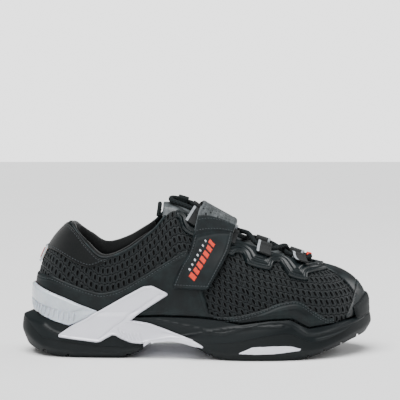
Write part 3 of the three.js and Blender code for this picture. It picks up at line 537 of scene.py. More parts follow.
class FinishGraph(Graph):
    """A material's tree, with the textures that the shoe's finishes share."""

    def place(self, stretch=(1, 1, 1)):
        """Object coordinates in millimetres, divided by a stretch."""
        spot = self.add("ShaderNodeTexCoord", output="Object")
        return self.vector("MULTIPLY", spot, tuple(1 / (MM * s) for s in stretch))

    def chart(self, scale=(1, 1, 1)):
        """The piece's own UV map, in millimetres along and across it, times a scale."""
        return self.vector("MULTIPLY", self.add("ShaderNodeUVMap", {"uv_map": "chart"}), scale)

    def noise(self, where, size, detail=3.0, roughness=0.55):
        return self.add("ShaderNodeTexNoise", {}, {
            "Vector": where, "Scale": 1 / size, "Detail": detail, "Roughness": roughness})

    def grain(self, where, size, smoothness=0.6):
        return self.add("ShaderNodeTexVoronoi", {"feature": "SMOOTH_F1"}, {
            "Vector": where, "Scale": 1 / size, "Smoothness": smoothness})

    def threads(self, where, size, direction="X", distortion=0.0):
        return self.add("ShaderNodeTexWave", {"bands_direction": direction}, {
            "Vector": where, "Scale": 1 / (size * 3.1416), "Distortion": distortion, "Detail": 0.0},
            output="Fac")

    def split(self, where):
        node = self.node("ShaderNodeSeparateXYZ", {}, {0: where})
        return [Wire(self, node.outputs[i]) for i in range(3)]

    def mix(self, factor, first, second):
        return self.add("ShaderNodeMix", {"data_type": "RGBA"}, {0: factor, 6: first, 7: second}, output=2)

    def relief(self, height, depth, strength=1.0):
        return self.add("ShaderNodeBump", {}, {
            "Height": height, "Distance": depth * MM, "Strength": strength})


def finish(name, build, **constants):
    """A material: constants sit on the shader's own sockets, and build(graph) gives what varies."""
    material = bpy.data.materials.new(name)
    material.use_nodes = True
    material.node_tree.nodes.clear()
    graph = FinishGraph(material.node_tree)
    sockets = {key.replace("_", " ").title().replace("Ior", "IOR"): value for key, value in constants.items()}
    sockets.update(build(graph))
    shader = graph.add("ShaderNodeBsdfPrincipled", {}, sockets)
    graph.node("ShaderNodeOutputMaterial", {}, {"Surface": shader})
    return material


def leather(name, colour, pale_tone, rough, grain=0.9, depth=0.05, streak=None, **constants):
    """Coated leather: fine grain, soft creases and slightly paler high spots."""
    def build(g):
        where = g.place()
        creases = g.noise(where, 9, 4)
        pebble = g.grain(where, grain)
        height = pebble * 0.6 + creases * 0.8
        if streak:
            height = height + g.noise(g.place(streak), 1.0, 2) * 0.8
        return {
            "Base Color": g.mix(creases.ramp(0.35, 0.75), colour, pale_tone),
            "Roughness": rough + (creases - 0.5) * 0.22 + pebble * 0.08,
            "Normal": g.relief(height, depth),
        }
    return finish(name, build, **constants)


def textile(name, colour, thread, size, rough=0.85, depth=0.12, fuzz=0.0, **constants):
    """Knitted or woven cloth: two crossed sets of threads, with fuzz that blurs them."""
    def build(g):
        where = g.place()
        lie = g.noise(where, 6, 3)
        warp = g.threads(where, size, "X", fuzz * 4) * 0.5
        weft = g.threads(where, size * 1.15, "Z", fuzz * 4) * 0.5
        hairs = g.noise(where, 0.35, 2)
        height = (warp + weft) * (1 - fuzz) + hairs * (0.3 + fuzz)
        return {
            "Base Color": g.mix((height * 0.7 + lie * 0.5).ramp(0.25, 0.95), colour, thread),
            "Roughness": rough + (lie - 0.5) * 0.15,
            "Normal": g.relief(height, depth),
        }
    return finish(name, build, **constants)


def moulding(name, colour, tone, rough, depth=0.03, size=14.0, speck=0.5, **constants):
    """Moulded rubber, foam or plastic: slow tone shifts, a fine satin texture and faint scuffs."""
    def build(g):
        where = g.place()
        tone_map = g.noise(where, size, 3)
        satin = g.noise(where, speck, 2)
        scuffs = g.noise(g.place((8, 8, 1)), 1.6, 4, 0.7).ramp(0.6, 0.8)
        return {
            "Base Color": g.mix(tone_map * 0.8 + scuffs * 0.4, colour, tone),
            "Roughness": rough + (tone_map - 0.5) * 0.16 + scuffs * 0.08,
            "Normal": g.relief(satin + scuffs * 0.3, depth),
        }
    return finish(name, build, **constants)


def ribbon(name, ground, stripe, low, high, pitch=0.55, rough=0.75, **constants):
    """Woven tape: diagonal ribs across it, and a paler stripe between two places of its width."""
    def build(g):
        chart = g.chart()
        across = g.split(chart)[1]
        twill = g.threads(chart, pitch, "DIAGONAL")
        fibres = g.noise(chart, 0.3, 2)
        band = across.ramp(low - 0.15, low + 0.15) * (1 - across.ramp(high - 0.15, high + 0.15))
        tint = g.mix(band, ground, stripe)
        return {
            "Base Color": g.mix(twill * 0.4 + fibres * 0.3, tint, g.mix(0.6, tint, (0, 0, 0, 1))),
            "Roughness": rough + fibres * 0.1,
            "Normal": g.relief(twill + fibres * 0.5, 0.12),
        }
    return finish(name, build, **constants)


def braid(name, colour, light, round_length, pitch, rough=0.8, **constants):
    """Braided cord: two sets of strands winding opposite ways along it."""
    def build(g):
        along, around, _ = g.split(g.chart())
        wind = around * (2 * math.pi / round_length * 4)
        run = along * (2 * math.pi / pitch)
        strands = (run + wind).maths("SINE").maths("MAXIMUM", (run - wind).maths("SINE"))
        fibres = g.noise(g.place(), 0.3, 2)
        height = strands * 0.5 + fibres * 0.5
        return {
            "Base Color": g.mix(height.ramp(0.1, 0.9), colour, light),
            "Roughness": rough + fibres * 0.1,
            "Normal": g.relief(height, 0.22),
        }
    return finish(name, build, **constants)


FINISHES = {}
MATT, SATIN = {"specular_ior_level": 0.25}, {"specular_ior_level": 0.35}
CLEAR_COAT = {"coat_weight": 0.6, "coat_roughness": 0.12, "subsurface_weight": 0.15}
PEARL_COAT = {"metallic": 0.12, "coat_weight": 0.35, "coat_roughness": 0.2}
STREAKED = (14, 1.2, 1.2)


def make_finishes(shoe):
    ink, pearl, accent = (tuple(colour) + (1,) for colour in (shoe.black, shoe.pearl, shoe.accent))
    black = paint(10, 14, 15)
    girth = 2 * math.pi * LACE_RADIUS
    FINISHES.update(
        net=textile("air_mesh_net", black, paint(20, 27, 29), 0.5, 0.62, 0.08, sheen_weight=0.12, **MATT),
        backing=textile("mesh_backing", paint(3, 5, 5), paint(7, 10, 11), 0.6, 0.95, 0.1, **MATT),
        overlay=leather("overlay_leather", ink, paint(25, 34, 35), 0.5, 0.8, 0.04, **MATT),
        smooth=leather("smooth_leather", ink, paint(28, 38, 40), 0.36, 0.7, 0.03, **SATIN),
        suede=textile("collar_suede", paint(5, 8, 9), paint(10, 15, 16), 0.4, 0.95, 0.05, 0.9,
                      sheen_weight=0.2, **MATT),
        stay=moulding("moulded_stay", ink, paint(25, 34, 36), 0.36, 0.02, **SATIN),
        lining=textile("collar_lining", paint(4, 6, 7), paint(9, 14, 15), 0.7, 0.97, 0.25, 0.6,
                       sheen_weight=0.25, **MATT),
        piping=leather("collar_piping", ink, paint(32, 43, 45), 0.45, 0.6, 0.03, **MATT),
        foam=moulding("midsole_foam", paint(12, 18, 20), paint(19, 27, 29), 0.5, 0.02, 22, **MATT),
        rubber=moulding("sole_rubber", paint(11, 16, 17), paint(17, 24, 26), 0.58, 0.05, 16, 0.7, **MATT),
        pearl=moulding("pearl_plate", pearl, paint(206, 207, 218), 0.33, 0.012, 30, 0.4, **PEARL_COAT),
        milky=moulding("milky_clip", paint(216, 218, 224), paint(150, 154, 163), 0.24, 0.02, 11, 0.6,
                       **CLEAR_COAT),
        # Tongue: its light grey leather is painted highlight, standing in for overhead light reflected off
        # the black leather top.
        tongue=leather("tongue_cover", paint(58, 62, 63), paint(96, 101, 103), 0.34, 0.8, 0.04, **SATIN),
        binding=textile("edge_binding", black, paint(19, 27, 28), 0.5, 0.85, 0.1, **MATT),
        tape=ribbon("loop_webbing", paint(22, 26, 27), paint(165, 171, 176), -2.1, 2.1),
        cord=braid("lace_braid", paint(5, 8, 9), paint(24, 32, 34), girth, 3.4, **MATT),
        strap=leather("strap_cover", ink, paint(24, 33, 35), 0.5, 0.75, 0.05, STREAKED, **MATT),
        # Strap crown: its light grey leather is painted sheen, standing in for overhead light reflected off
        # the strap's black top.
        sheen=leather("strap_crown", paint(62, 66, 67), paint(98, 102, 104), 0.36, 0.7, 0.04, **SATIN),
        print=moulding("badge_print", accent, paint(200, 52, 26), 0.5, 0.02),
        chalk=moulding("white_print", paint(196, 199, 203), paint(170, 174, 178), 0.55, 0.02),
        thread=textile("stitch_thread", paint(34, 39, 41), paint(62, 69, 72), 0.25, 0.7, 0.05),
        hook=textile("hook_tape", paint(5, 7, 8), paint(13, 18, 20), 0.8, 0.9, 0.4, 0.7, **MATT),
        board=textile("board_fibre", paint(168, 160, 142), paint(196, 190, 174), 0.8, 0.9, 0.1, 0.7),
        sock=textile("insole_cloth", paint(20, 24, 26), paint(44, 50, 53), 0.6, 0.95, 0.12),
    )


# ---- panels on the shoe's surfaces ---------------------------------------------------------------


def level_on(surface, k, line, lift=0.0):
    """The level at which a surface crosses a side-view line."""
    k = np.asarray(k, float)
    return level_where(surface, k, lambda p: p[..., 2] - height_on(line, p[..., 0]) - lift)


def on_line(surface, line, lift=0.0):
    """The same level, as a function of the station."""
    return lambda k: level_on(surface, k, line, lift)


def held_at(level):
    """A level that is the same at every station."""
    return lambda k: np.full_like(k, level)


def sampled(points, spacing=0.5):
    """An outline filled in with points no further apart than a spacing."""
    points = np.asarray(points, float)
    gaps = np.linalg.norm(np.diff(points, axis=0), axis=1)
    counts = np.maximum(1, np.ceil(gaps / spacing).astype(int))
    return np.concatenate([a + (b - a) * np.linspace(0, 1, n, endpoint=False)[:, None]
                           for a, b, n in zip(points[:-1], points[1:], counts)] + [points[-1:]])


def fine_steps(line):
    """A line in stations and levels, filled in to steps of about half a millimetre."""
    return sampled(line * [30, 60]) / [30, 60]


def nearest(points, line):
    """Distance from points to the nearest of a line's sample points."""
    best = np.empty(len(points))
    for start in range(0, len(points), 1500):
        d = points[start:start + 1500, None] - line[None]
        best[start:start + 1500] = np.sqrt((d * d).sum(-1).min(1))
    return best


def edge_field(surface, outline):
    """Signed distance over a surface to a closed outline in its own coordinates, positive inside."""
    outline = np.asarray(outline, float)
    line = surface(*fine_steps(np.concatenate([outline, outline[:1]])).T)

    def field(k, w, points):
        flat = points.reshape(-1, 3)
        d = nearest(flat, line)
        sign = np.where(contains(outline, k.ravel(), w.ravel()), 1, -1)
        return (d * sign).reshape(k.shape)
    return field


def side_field(*outlines):
    """Signed distance in the side view to the union of closed outlines, positive inside."""
    def field(k, w, points):
        flat = points.reshape(-1, 3)[:, [0, 2]] / GRADE[[0, 2]]
        best = np.max([distance_to(line, flat) for line in outlines], 0)
        return best.reshape(k.shape)
    return field


def patch(surface, k_range, w_range, field, outer, inner, step=0.8):
    """A closed sheet on a surface where a field is positive. outer(d, points) is the height of its face
    over the surface, d being the distance from its edge, and inner the height of its back."""
    (k0, k1), (w0, w1) = k_range, w_range
    ks, ws = np.linspace(k0, k1, 40), np.linspace(w0, w1, 12)
    rough = surface(*np.meshgrid(ks, ws, indexing="ij"))
    along = np.linalg.norm(np.diff(rough, axis=0), axis=-1).sum(0).max()
    across = np.linalg.norm(np.diff(rough, axis=1), axis=-1).sum(1).max()
    k, w = np.meshgrid(np.linspace(k0, k1, max(3, int(along / step))),
                       np.linspace(w0, w1, max(3, int(across / step))), indexing="ij")
    points = surface(k, w)
    k, w, d, faces = cut_grid(k, w, field(k, w, points))
    points, normal = surface(k, w), normal_of(surface, k, w)
    top = points + normal * np.asarray(outer(d, points))[:, None]
    return closed_sheet(top, points + normal * inner, faces)


def band_outline(k0, k1, low, high, rows=160):
    """The outline of a band between two levels, given as functions of the station."""
    k = np.linspace(k0, k1, rows)
    return np.concatenate([np.stack([k, low(k)], 1), np.stack([k, high(k)], 1)[::-1]])


def band(surface, k0, k1, low, high, outer, inner, step=0.8):
    """A closed sheet between two levels of a surface."""
    outline = band_outline(k0, k1, low, high)
    levels = outline[:, 1].min(), outline[:, 1].max()
    return patch(surface, (k0, k1), levels, edge_field(surface, outline), outer, inner, step)


def mirrored(k, side):
    """A lateral station, or the one across the shoe from it."""
    return k if side < 0 else ROUND - k


def between(side, k0, k1):
    return (k0, k1) if side < 0 else (ROUND - k1, ROUND - k0)


def ring_solid(rings):
    """A closed body through rings that go right round; the first and last are drawn in to the middle."""
    rings = [np.asarray(r) for r in rings]
    n = len(rings[0])
    turned = (-np.arange(n)) % n
    middle = [(r + r[turned]) / 2 for r in (rings[0], rings[-1])]
    rows = [middle[0], *rings, middle[1]]
    return np.concatenate(rows), tube_faces(len(rows), n)


def tidy(obj, weld=0.02):
    """Welds doubled points, drops flat faces and turns the faces outwards."""
    with editing(obj) as work:
        bmesh.ops.remove_doubles(work, verts=work.verts, dist=weld * MM)
        bmesh.ops.dissolve_degenerate(work, dist=1e-6, edges=work.edges)
        bmesh.ops.recalc_face_normals(work, faces=work.faces)
    return obj


def piece(name, shape, material, body, nodes=(), smooth_angle=40, chart=None, weld=True):
    """A finished piece: mesh, material, the body it rides on and the CAD nodes it stands for."""
    obj = make_object(name, *shape, smooth_angle) if isinstance(shape, tuple) else shape
    if chart is not None:
        uv = obj.data.uv_layers.new(name="chart")
        uv.data.foreach_set("uv", at_corners(obj.data, chart))
    if weld:
        tidy(obj)
        obj.data.set_sharp_from_angle(angle=math.radians(smooth_angle))
    obj.data.materials.clear()
    obj.data.materials.append(FINISHES[material])
    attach(obj, body)
    if nodes:
        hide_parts(*nodes)
    return obj


def sweep(path, section, up=None):
    """A closed body with one section, as points across and up, along a path. Returns it and its chart."""
    path, section = np.asarray(path, float), np.asarray(section, float)
    tangent = unit(np.gradient(path, axis=0))
    if up is None:
        frames, normal = [], unit(np.cross(tangent[0], [0.3, 0.9, 0.1]))
        for t in tangent:
            normal = unit(normal - t * (normal @ t))
            frames.append(normal)
        up = np.array(frames)
    up = unit(up - tangent * (up * tangent).sum(1)[:, None])
    across = np.cross(tangent, up)
    n, m = len(path), len(section)
    points = path[:, None] + across[:, None] * section[None, :, :1] + up[:, None] * section[None, :, 1:2]
    faces = tube_faces(n, m) + [list(range(m))[::-1], [(n - 1) * m + j for j in range(m)]]
    chart = np.meshgrid(lengths_along(path), lengths_along(section), indexing="ij")
    return (points.reshape(-1, 3), faces), np.stack(chart, -1).reshape(-1, 2)


def circle(radius, sides):
    a = np.linspace(0, 2 * math.pi, sides, endpoint=False)
    return np.stack([radius * np.cos(a), radius * np.sin(a)], 1)


def smooth_path(points, spacing=1.0):
    """A flowing curve through points, with even steps."""
    fine = flowing(points, steps=16)
    run = lengths_along(fine)
    at = np.linspace(0, run[-1], max(4, int(run[-1] / spacing)))
    return np.stack([np.interp(at, run, fine[:, i]) for i in range(3)], 1)


# ---- geometry nodes ------------------------------------------------------------------------------


def node_group(name, sockets):
    """A geometry tree with named inputs, each as (name, kind, default)."""
    tree = bpy.data.node_groups.new(name, "GeometryNodeTree")
    tree.interface.new_socket("Geometry", in_out="INPUT", socket_type="NodeSocketGeometry")
    for label, kind, default in sockets:
        socket = tree.interface.new_socket(label, in_out="INPUT", socket_type="NodeSocket" + kind)
        if default is not None:
            socket.default_value = default
    tree.interface.new_socket("Geometry", in_out="OUTPUT", socket_type="NodeSocketGeometry")
    graph = Graph(tree)
    start = graph.node("NodeGroupInput")
    return tree, graph, {s.name: Wire(graph, s) for s in start.outputs if s.name}


def close_group(graph, geometry, material):
    """Ends a tree in Realize Instances and Set Material."""
    real = graph.add("GeometryNodeRealizeInstances", {}, {0: geometry})
    done = graph.add("GeometryNodeSetMaterial", {}, {0: real, "Material": material})
    graph.node("NodeGroupOutput", {}, {0: done})


def run_group(name, base, tree, values, smooth_angle=50):
    """Applies a tree to a base object with its inputs set, and returns the result as a plain mesh object."""
    modifier = base.modifiers.new("pattern", "NODES")
    modifier.node_group = tree
    for item in tree.interface.items_tree:
        if item.item_type == "SOCKET" and item.in_out == "INPUT" and item.name in values:
            modifier[item.identifier] = values[item.name]
    mesh = baked(base, modifier)
    mesh.name = name
    if not len(mesh.polygons):
        raise RuntimeError(f"{name} came out empty")
    shade(mesh, smooth_angle)
    return placed(name, mesh)


def drop(*objs):
    for obj in objs:
        mesh = obj.data
        bpy.data.objects.remove(obj)
        bpy.data.meshes.remove(mesh)


def stitch_tree():
    """Stitches along the edges of a path mesh whose points carry an up direction."""
    tree, g, given = node_group("stitch_row", [
        ("Pitch", "Float", 3.0 * MM), ("Length", "Float", 2.2 * MM), ("Thread", "Float", 0.7 * MM),
        ("Material", "Material", None)])
    curve = g.add("GeometryNodeMeshToCurve", {}, {0: given["Geometry"]})
    even = g.add("GeometryNodeResampleCurve", {"mode": "LENGTH"}, {0: curve, "Length": given["Pitch"]})
    tangent = g.add("GeometryNodeInputTangent")
    up = g.add("GeometryNodeInputNamedAttribute", {"data_type": "FLOAT_VECTOR"}, {"Name": "up"})
    turn = g.add("FunctionNodeAlignRotationToVector", {"axis": "X"}, {"Vector": tangent})
    turn = g.add("FunctionNodeAlignRotationToVector", {"axis": "Z", "pivot_axis": "X"},
                 {"Rotation": turn, "Vector": up})
    bead = g.add("GeometryNodeMeshUVSphere", {}, {"Segments": 8, "Rings": 5, "Radius": 0.5})
    size = g.add("ShaderNodeCombineXYZ", {}, {
        0: given["Length"], 1: given["Thread"], 2: given["Thread"] * 0.8})
    rows = g.add("GeometryNodeInstanceOnPoints", {}, {
        "Points": even, "Instance": bead, "Rotation": turn, "Scale": size})
    close_group(g, rows, given["Material"])
    return tree


def wrap_tree():
    """Cells on a flat grid, laid over a guide by its chart; what falls outside the chart is dropped."""
    tree, g, given = node_group("wrapped_pattern", [
        ("Cell", "Object", None), ("Pitch Along", "Float", 5 * MM), ("Pitch Across", "Float", 7 * MM),
        ("Columns", "Int", 10), ("Rows", "Int", 10), ("Stagger", "Float", 0.5), ("Origin", "Vector", None),
        ("Material", "Material", None)])
    along = (given["Columns"] - 1) * given["Pitch Along"]
    across = (given["Rows"] - 1) * given["Pitch Across"]
    grid = g.add("GeometryNodeMeshGrid", {}, {
        "Size X": along, "Size Y": across, "Vertices X": given["Columns"], "Vertices Y": given["Rows"]})
    place = g.add("GeometryNodeInputPosition")
    y = g.add("ShaderNodeSeparateXYZ", {}, {0: place}, output=1)
    row = (y + across * 0.5).maths("DIVIDE", given["Pitch Across"])
    odd = row.maths("ROUND").maths("MODULO", 2.0)
    shift = g.add("ShaderNodeCombineXYZ", {}, {0: odd * given["Stagger"] * given["Pitch Along"]})
    grid = g.add("GeometryNodeSetPosition", {}, {0: grid, "Offset": g.vector("ADD", shift, given["Origin"])})
    cell = g.add("GeometryNodeObjectInfo", {}, {"Object": given["Cell"]}, output="Geometry")
    cells = g.add("GeometryNodeInstanceOnPoints", {}, {"Points": grid, "Instance": cell})
    flat = g.add("GeometryNodeRealizeInstances", {}, {0: cells})
    chart = g.add("GeometryNodeInputNamedAttribute", {"data_type": "FLOAT_VECTOR"}, {"Name": "chart"})
    here = g.add("GeometryNodeInputPosition")

    def sample(value):
        return g.node("GeometryNodeSampleUVSurface", {"data_type": "FLOAT_VECTOR"}, {
            0: given["Geometry"], "Value": value, "Source UV Map": chart, "Sample UV": here})
    spot = sample(g.add("GeometryNodeInputPosition"))
    lean = sample(g.add("GeometryNodeInputNormal"))
    height = g.add("ShaderNodeSeparateXYZ", {}, {0: here}, output=2)
    rise = g.add("ShaderNodeVectorMath", {"operation": "SCALE"}, {
        0: Wire(g, lean.outputs[0]), "Scale": height})
    target = g.vector("ADD", Wire(g, spot.outputs[0]), rise)
    miss = g.add("FunctionNodeBooleanMath", {"operation": "NOT"}, {0: Wire(g, spot.outputs["Is Valid"])})
    kept = g.add("GeometryNodeDeleteGeometry", {"domain": "POINT"}, {0: flat, "Selection": miss})
    laid = g.add("GeometryNodeSetPosition", {}, {0: kept, "Position": target})
    close_group(g, laid, given["Material"])
    return tree


def guide_object(points, chart):
    """A grid of points as an open mesh whose chart, in millimetres, holds each point's place on the flat."""
    rows, cols = points.shape[:2]
    obj = make_object("guide", points.reshape(-1, 3), grid_faces(rows, cols))
    flat = np.concatenate([chart.reshape(-1, 2), np.zeros((rows * cols, 1))], 1) * MM
    attribute = obj.data.attributes.new("chart", "FLOAT_VECTOR", "CORNER")
    attribute.data.foreach_set("vector", at_corners(obj.data, flat))
    return obj


def chart_guide(surface, k, w, offset=0.0, from_top=False):
    """A surface as a guide whose chart holds arc lengths along and across it. Across it they either
    count from the top edge, or are evened out to the same for every column."""
    points = surface(k, w) + normal_of(surface, k, w) * offset
    run = lengths_along(points[:, points.shape[1] // 2])
    rise = np.linalg.norm(np.diff(points, axis=1), axis=-1)
    climb = np.concatenate([np.zeros((len(points), 1)), np.cumsum(rise, 1)], 1)
    tallest = climb.max()
    climb = tallest + climb - climb[:, -1:] if from_top else climb * tallest / climb[:, -1:]
    chart = np.stack([np.broadcast_to(run[:, None], climb.shape), climb], -1)
    return guide_object(points, chart), run[-1], tallest


def net_cell(width, height, hole_width, hole_height, rise=0.45, sides=14):
    """One cell of a net: a plate with an oval hole, its rim raised and turned down into the hole."""
    a = np.linspace(0, 2 * math.pi, sides, endpoint=False)
    cos, sin = np.cos(a), np.sin(a)
    reach = 1 / np.maximum(np.abs(cos) / (width / 2), np.abs(sin) / (height / 2))
    wide, tall = hole_width / 2, hole_height / 2
    rings = [np.stack([cos * x, sin * y, np.full(sides, z)], 1) for x, y, z in (
        (reach, reach, 0), (wide + 0.55, tall + 0.6, rise), (wide, tall, rise * 0.7),
        (wide * 0.94, tall * 0.94, -0.5))]
    return make_object("net_cell", np.concatenate(rings), tube_faces(len(rings), sides), 60)


def stitches(name, paths, body, pitch=2.6, length=1.9, thread=0.55, material="thread"):
    """Rows of stitches along paths, each as points and their up directions, in millimetres."""
    points, ups, edges, start = [], [], [], 0
    for line, up in paths:
        points.append(line)
        ups.append(up)
        edges += [(start + i, start + i + 1) for i in range(len(line) - 1)]
        start += len(line)
    mesh = bpy.data.meshes.new("stitch_path")
    mesh.from_pydata((np.concatenate(points) * MM).tolist(), edges, [])
    attribute = mesh.attributes.new("up", "FLOAT_VECTOR", "POINT")
    attribute.data.foreach_set("vector", np.concatenate(ups).ravel())
    base = placed("stitch_path", mesh)
    obj = run_group(name, base, TREES["stitch"], {
        "Pitch": pitch * MM, "Length": length * MM, "Thread": thread * MM, "Material": FINISHES[material]})
    drop(base)
    return piece(name, obj, material, body, weld=False)


def seam_path(surface, k, w, offset):
    """A seam over a surface, as points and up directions."""
    k, w = np.asarray(k, float), np.asarray(w, float)
    normal = normal_of(surface, k, w)
    return surface(k, w) + normal * offset, normal


TREES = {}


# ---- settings ------------------------------------------------------------------------------------


def length_setting(name, description, size):
    return bpy.props.FloatProperty(name=name, description=description, default=size * MM, unit="LENGTH")


def colour_setting(name, description, *colour):
    return bpy.props.FloatVectorProperty(name=name, description=description, subtype="COLOR",
                                         default=paint(*colour)[:3])


class CourtShoeSettings(bpy.types.PropertyGroup):
    """Sizes and colours of the shoe's finish."""
    hole_width: length_setting("Mesh hole width", "Width of the oval holes in the net", 2.3)
    hole_height: length_setting("Mesh hole height", "Height of the oval holes", 4.9)
    column_pitch: length_setting("Column pitch", "From one column of holes to the next", 4.7)
    row_pitch: length_setting("Row pitch", "From one row of holes to the next", 7.3)
    stitch_pitch: length_setting("Stitch pitch", "Length of a stitch and its gap", 2.6)
    rib_pitch: length_setting("Clip rib pitch", "Spacing of the heel clip's ribs", 4.6)
    perforation: length_setting("Perforation", "Diameter of the strap's perforations", 1.5)
    black: colour_setting("Black", "Colour of the upper", 14, 20, 22)
    pearl: colour_setting("Pearl", "Colour of the shank plate", 229, 229, 237)
    accent: colour_setting("Accent", "Colour of the strap's bars", 222, 52, 24)


# ---- stage ---------------------------------------------------------------------------------------


CAMERA_AWAY, CAMERA_HEIGHT, AIM_HEIGHT, AIM_X = 1.25, 0.22, 0.1295, 0.0025
LENS, SENSOR = 132.0, 36.0
FILL_LIGHT, BACKDROP_LIGHT, OVERHEAD_LIGHT, OVERHEAD_SPREAD = 0.25, 2.5, 5.2, 0.9
SUN_DIRECTION, LAMP_TARGET = (0.15, 0.25, -1), (0, 0, 0.05)
# Soft lamps: place and size in metres, and power in watts.
LAMPS = {"front_soft": ((-0.5, -1.2, 0.75), 0.9, 6.0), "toe_rim": ((1.1, 0.25, 0.55), 0.5, 6.0)}


def facing(place, target):
    """The turn that points a lamp or a camera from one place at another."""
    return (Vector(target) - Vector(place)).to_track_quat("-Z", "Y").to_euler()


def make_world(scene):
    """Dim even light on the shoe behind a bright, plain backdrop."""
    world = bpy.data.worlds.new("studio")
    scene.world = world
    world.use_nodes = True
    nodes, links = world.node_tree.nodes, world.node_tree.links
    fill, backdrop = nodes["Background"], nodes.new("ShaderNodeBackground")
    for node, strength in ((fill, FILL_LIGHT), (backdrop, BACKDROP_LIGHT)):
        node.inputs["Color"].default_value = (1, 1, 1, 1)
        node.inputs["Strength"].default_value = strength
    ray, choose = nodes.new("ShaderNodeLightPath"), nodes.new("ShaderNodeMixShader")
    links.new(ray.outputs["Is Camera Ray"], choose.inputs[0])
    links.new(fill.outputs[0], choose.inputs[1])
    links.new(backdrop.outputs[0], choose.inputs[2])
    links.new(choose.outputs[0], nodes["World Output"].inputs["Surface"])


class SHOE_OT_stage(bpy.types.Operator):
    """Pale floor, soft studio light and the camera"""
    bl_idname = "shoe.stage"
    bl_label = "Stage"

    def execute(self, context):
        scene = context.scene
        floor = make_object("floor", [(-3000, -1500, 0), (3000, -1500, 0), (3000, 3500, 0), (-3000, 3500, 0)],
                            [[0, 1, 2, 3]])
        floor.data.materials.append(finish("pale_floor", lambda g: {
            "Base Color": g.mix(g.noise(g.place(), 400, 2), paint(250, 250, 250), paint(246, 247, 247)),
            "Roughness": 0.62 + g.noise(g.place(), 90, 3) * 0.1}))
        make_world(scene)
        sun = bpy.data.lights.new("overhead", "SUN")
        sun.energy, sun.angle = OVERHEAD_LIGHT, OVERHEAD_SPREAD
        placed("overhead", sun).rotation_euler = facing((0, 0, 0), SUN_DIRECTION)
        for name, (place, size, power) in LAMPS.items():
            data = bpy.data.lights.new(name, "AREA")
            data.size, data.energy = size, power
            lamp = placed(name, data)
            lamp.location, lamp.rotation_euler = place, facing(place, LAMP_TARGET)
        data = bpy.data.cameras.new("camera")
        data.lens, data.sensor_width = LENS, SENSOR
        camera = placed("camera", data)
        camera.location = (AIM_X, -CAMERA_AWAY, CAMERA_HEIGHT)
        camera.rotation_euler = facing(camera.location, (AIM_X, 0, AIM_HEIGHT))
        scene.camera = camera
        return {"FINISHED"}


# ---- sole unit -----------------------------------------------------------------------------------

AROUND = np.arange(0, ROUND, 1 / 22)
OUTSOLE_FLOOR, OUTSOLE_WALL, CUP_PLAY = 4.5, 3.2, 1.3
HEEL_RUBBER_END, FORE_RUBBER_START = -45 * GRADE[0], -3 * GRADE[0]
TREAD_DEPTH, TREAD_RIM = 1.2, 2.0
HEEL_GROOVES, FORE_GROOVES, GROOVE_WIDTH, GROOVE_DEPTH = (-128, -108, -58), (12, 92, 106, 121, 136), 2.2, 2.4

# Moulded lines of the midsole's side, in the side view.
FACET_LINES = [
    [(-34, 33), (0, 26.5), (18, 22.5), (30, 25), (52, 30.5), (72, 31.8), (82, 27.5), (90, 22), (101, 21),
     (118, 25), (140, 31)],
    [(-30, 16.5), (-6, 20.5), (18, 25.5), (40, 28), (70, 29)],
    [(-128, 27), (-118, 21), (-100, 17.5), (-84, 14.5)],
    [(100, 17), (116, 20), (134, 26), (146, 31)],
]


def ledge(k, edge, inset, line, lift=0.0):
    p = sole_edge(k, edge - inset, line)
    p[..., 2] = sole_edge(k, edge, line, lift)[..., 2]
    return p


def facet_relief(points):
    flat = points.reshape(-1, 3)[:, [0, 2]] / GRADE[[0, 2]]
    depth = np.zeros(len(flat))
    for line in FACET_LINES:
        d = distance_to(flowing(line, steps=4), flat, closed=False)
        depth -= 1.1 * bump_at(d, 0, 0.9)
    return depth.reshape(points.shape[:-1])


def midsole_shape():
    k = AROUND
    rubber = flare(k) - RUBBER_TUCK
    cup = OUTSOLE_WALL + CUP_PLAY
    rings = [ledge(k, flare(k) - TREAD_TUCK, cup, GROUND, OUTSOLE_FLOOR + CUP_PLAY),
             ledge(k, rubber, cup, RUBBER_TOP, GAP)]
    for u in np.linspace(2.03, 4, 26):
        wall = sole_wall(k, u)
        rings.append(wall + normal_of(sole_wall, k, np.full_like(k, u)) * facet_relief(wall)[:, None])
    rim = rim_level(k)
    rings += [layer(k, rim, np.full_like(k, GAP)), layer(k, rim / 2, np.full_like(k, GAP)),
              feather(k) - up_by(np.full_like(k, GAP))]
    return ring_solid(rings)


class SHOE_OT_midsole(bpy.types.Operator):
    """Foam midsole with its moulded lines"""
    bl_idname = "shoe.midsole"
    bl_label = "Midsole"

    def execute(self, context):
        piece("midsole_body", midsole_shape(), "foam", "shoe", ["midsole"], 35)
        return {"FINISHED"}


def slice_x(obj, x0, x1):
    """Keeps the part of a closed mesh between two planes across the shoe."""
    with editing(obj) as work:
        for x, sign in ((x0, -1), (x1, 1)):
            everything = work.verts[:] + work.edges[:] + work.faces[:]
            cut = bmesh.ops.bisect_plane(work, geom=everything, plane_co=(x * MM, 0, 0),
                                         plane_no=(sign, 0, 0), clear_outer=True)
            rim = [e for e in cut["geom_cut"] if isinstance(e, bmesh.types.BMEdge)]
            bmesh.ops.holes_fill(work, edges=rim, sides=0)


def box_shape(low, high):
    (x0, y0, z0), (x1, y1, z1) = low, high
    points = [(x, y, z) for x in (x0, x1) for y in (y0, y1) for z in (z0, z1)]
    faces = [[0, 1, 3, 2], [4, 6, 7, 5], [0, 4, 5, 1], [2, 3, 7, 6], [0, 2, 6, 4], [1, 5, 7, 3]]
    return np.array(points), faces


def cut_away(obj, shapes):
    """Subtracts closed shapes from a piece."""
    tool = make_object("cutter", *join_meshes(shapes))
    modifier = obj.modifiers.new("cut", "BOOLEAN")
    modifier.object, modifier.operation, modifier.solver = tool, "DIFFERENCE", "EXACT"
    obj.data = baked(obj, modifier)
    drop(tool)
    shade(obj.data, 35)


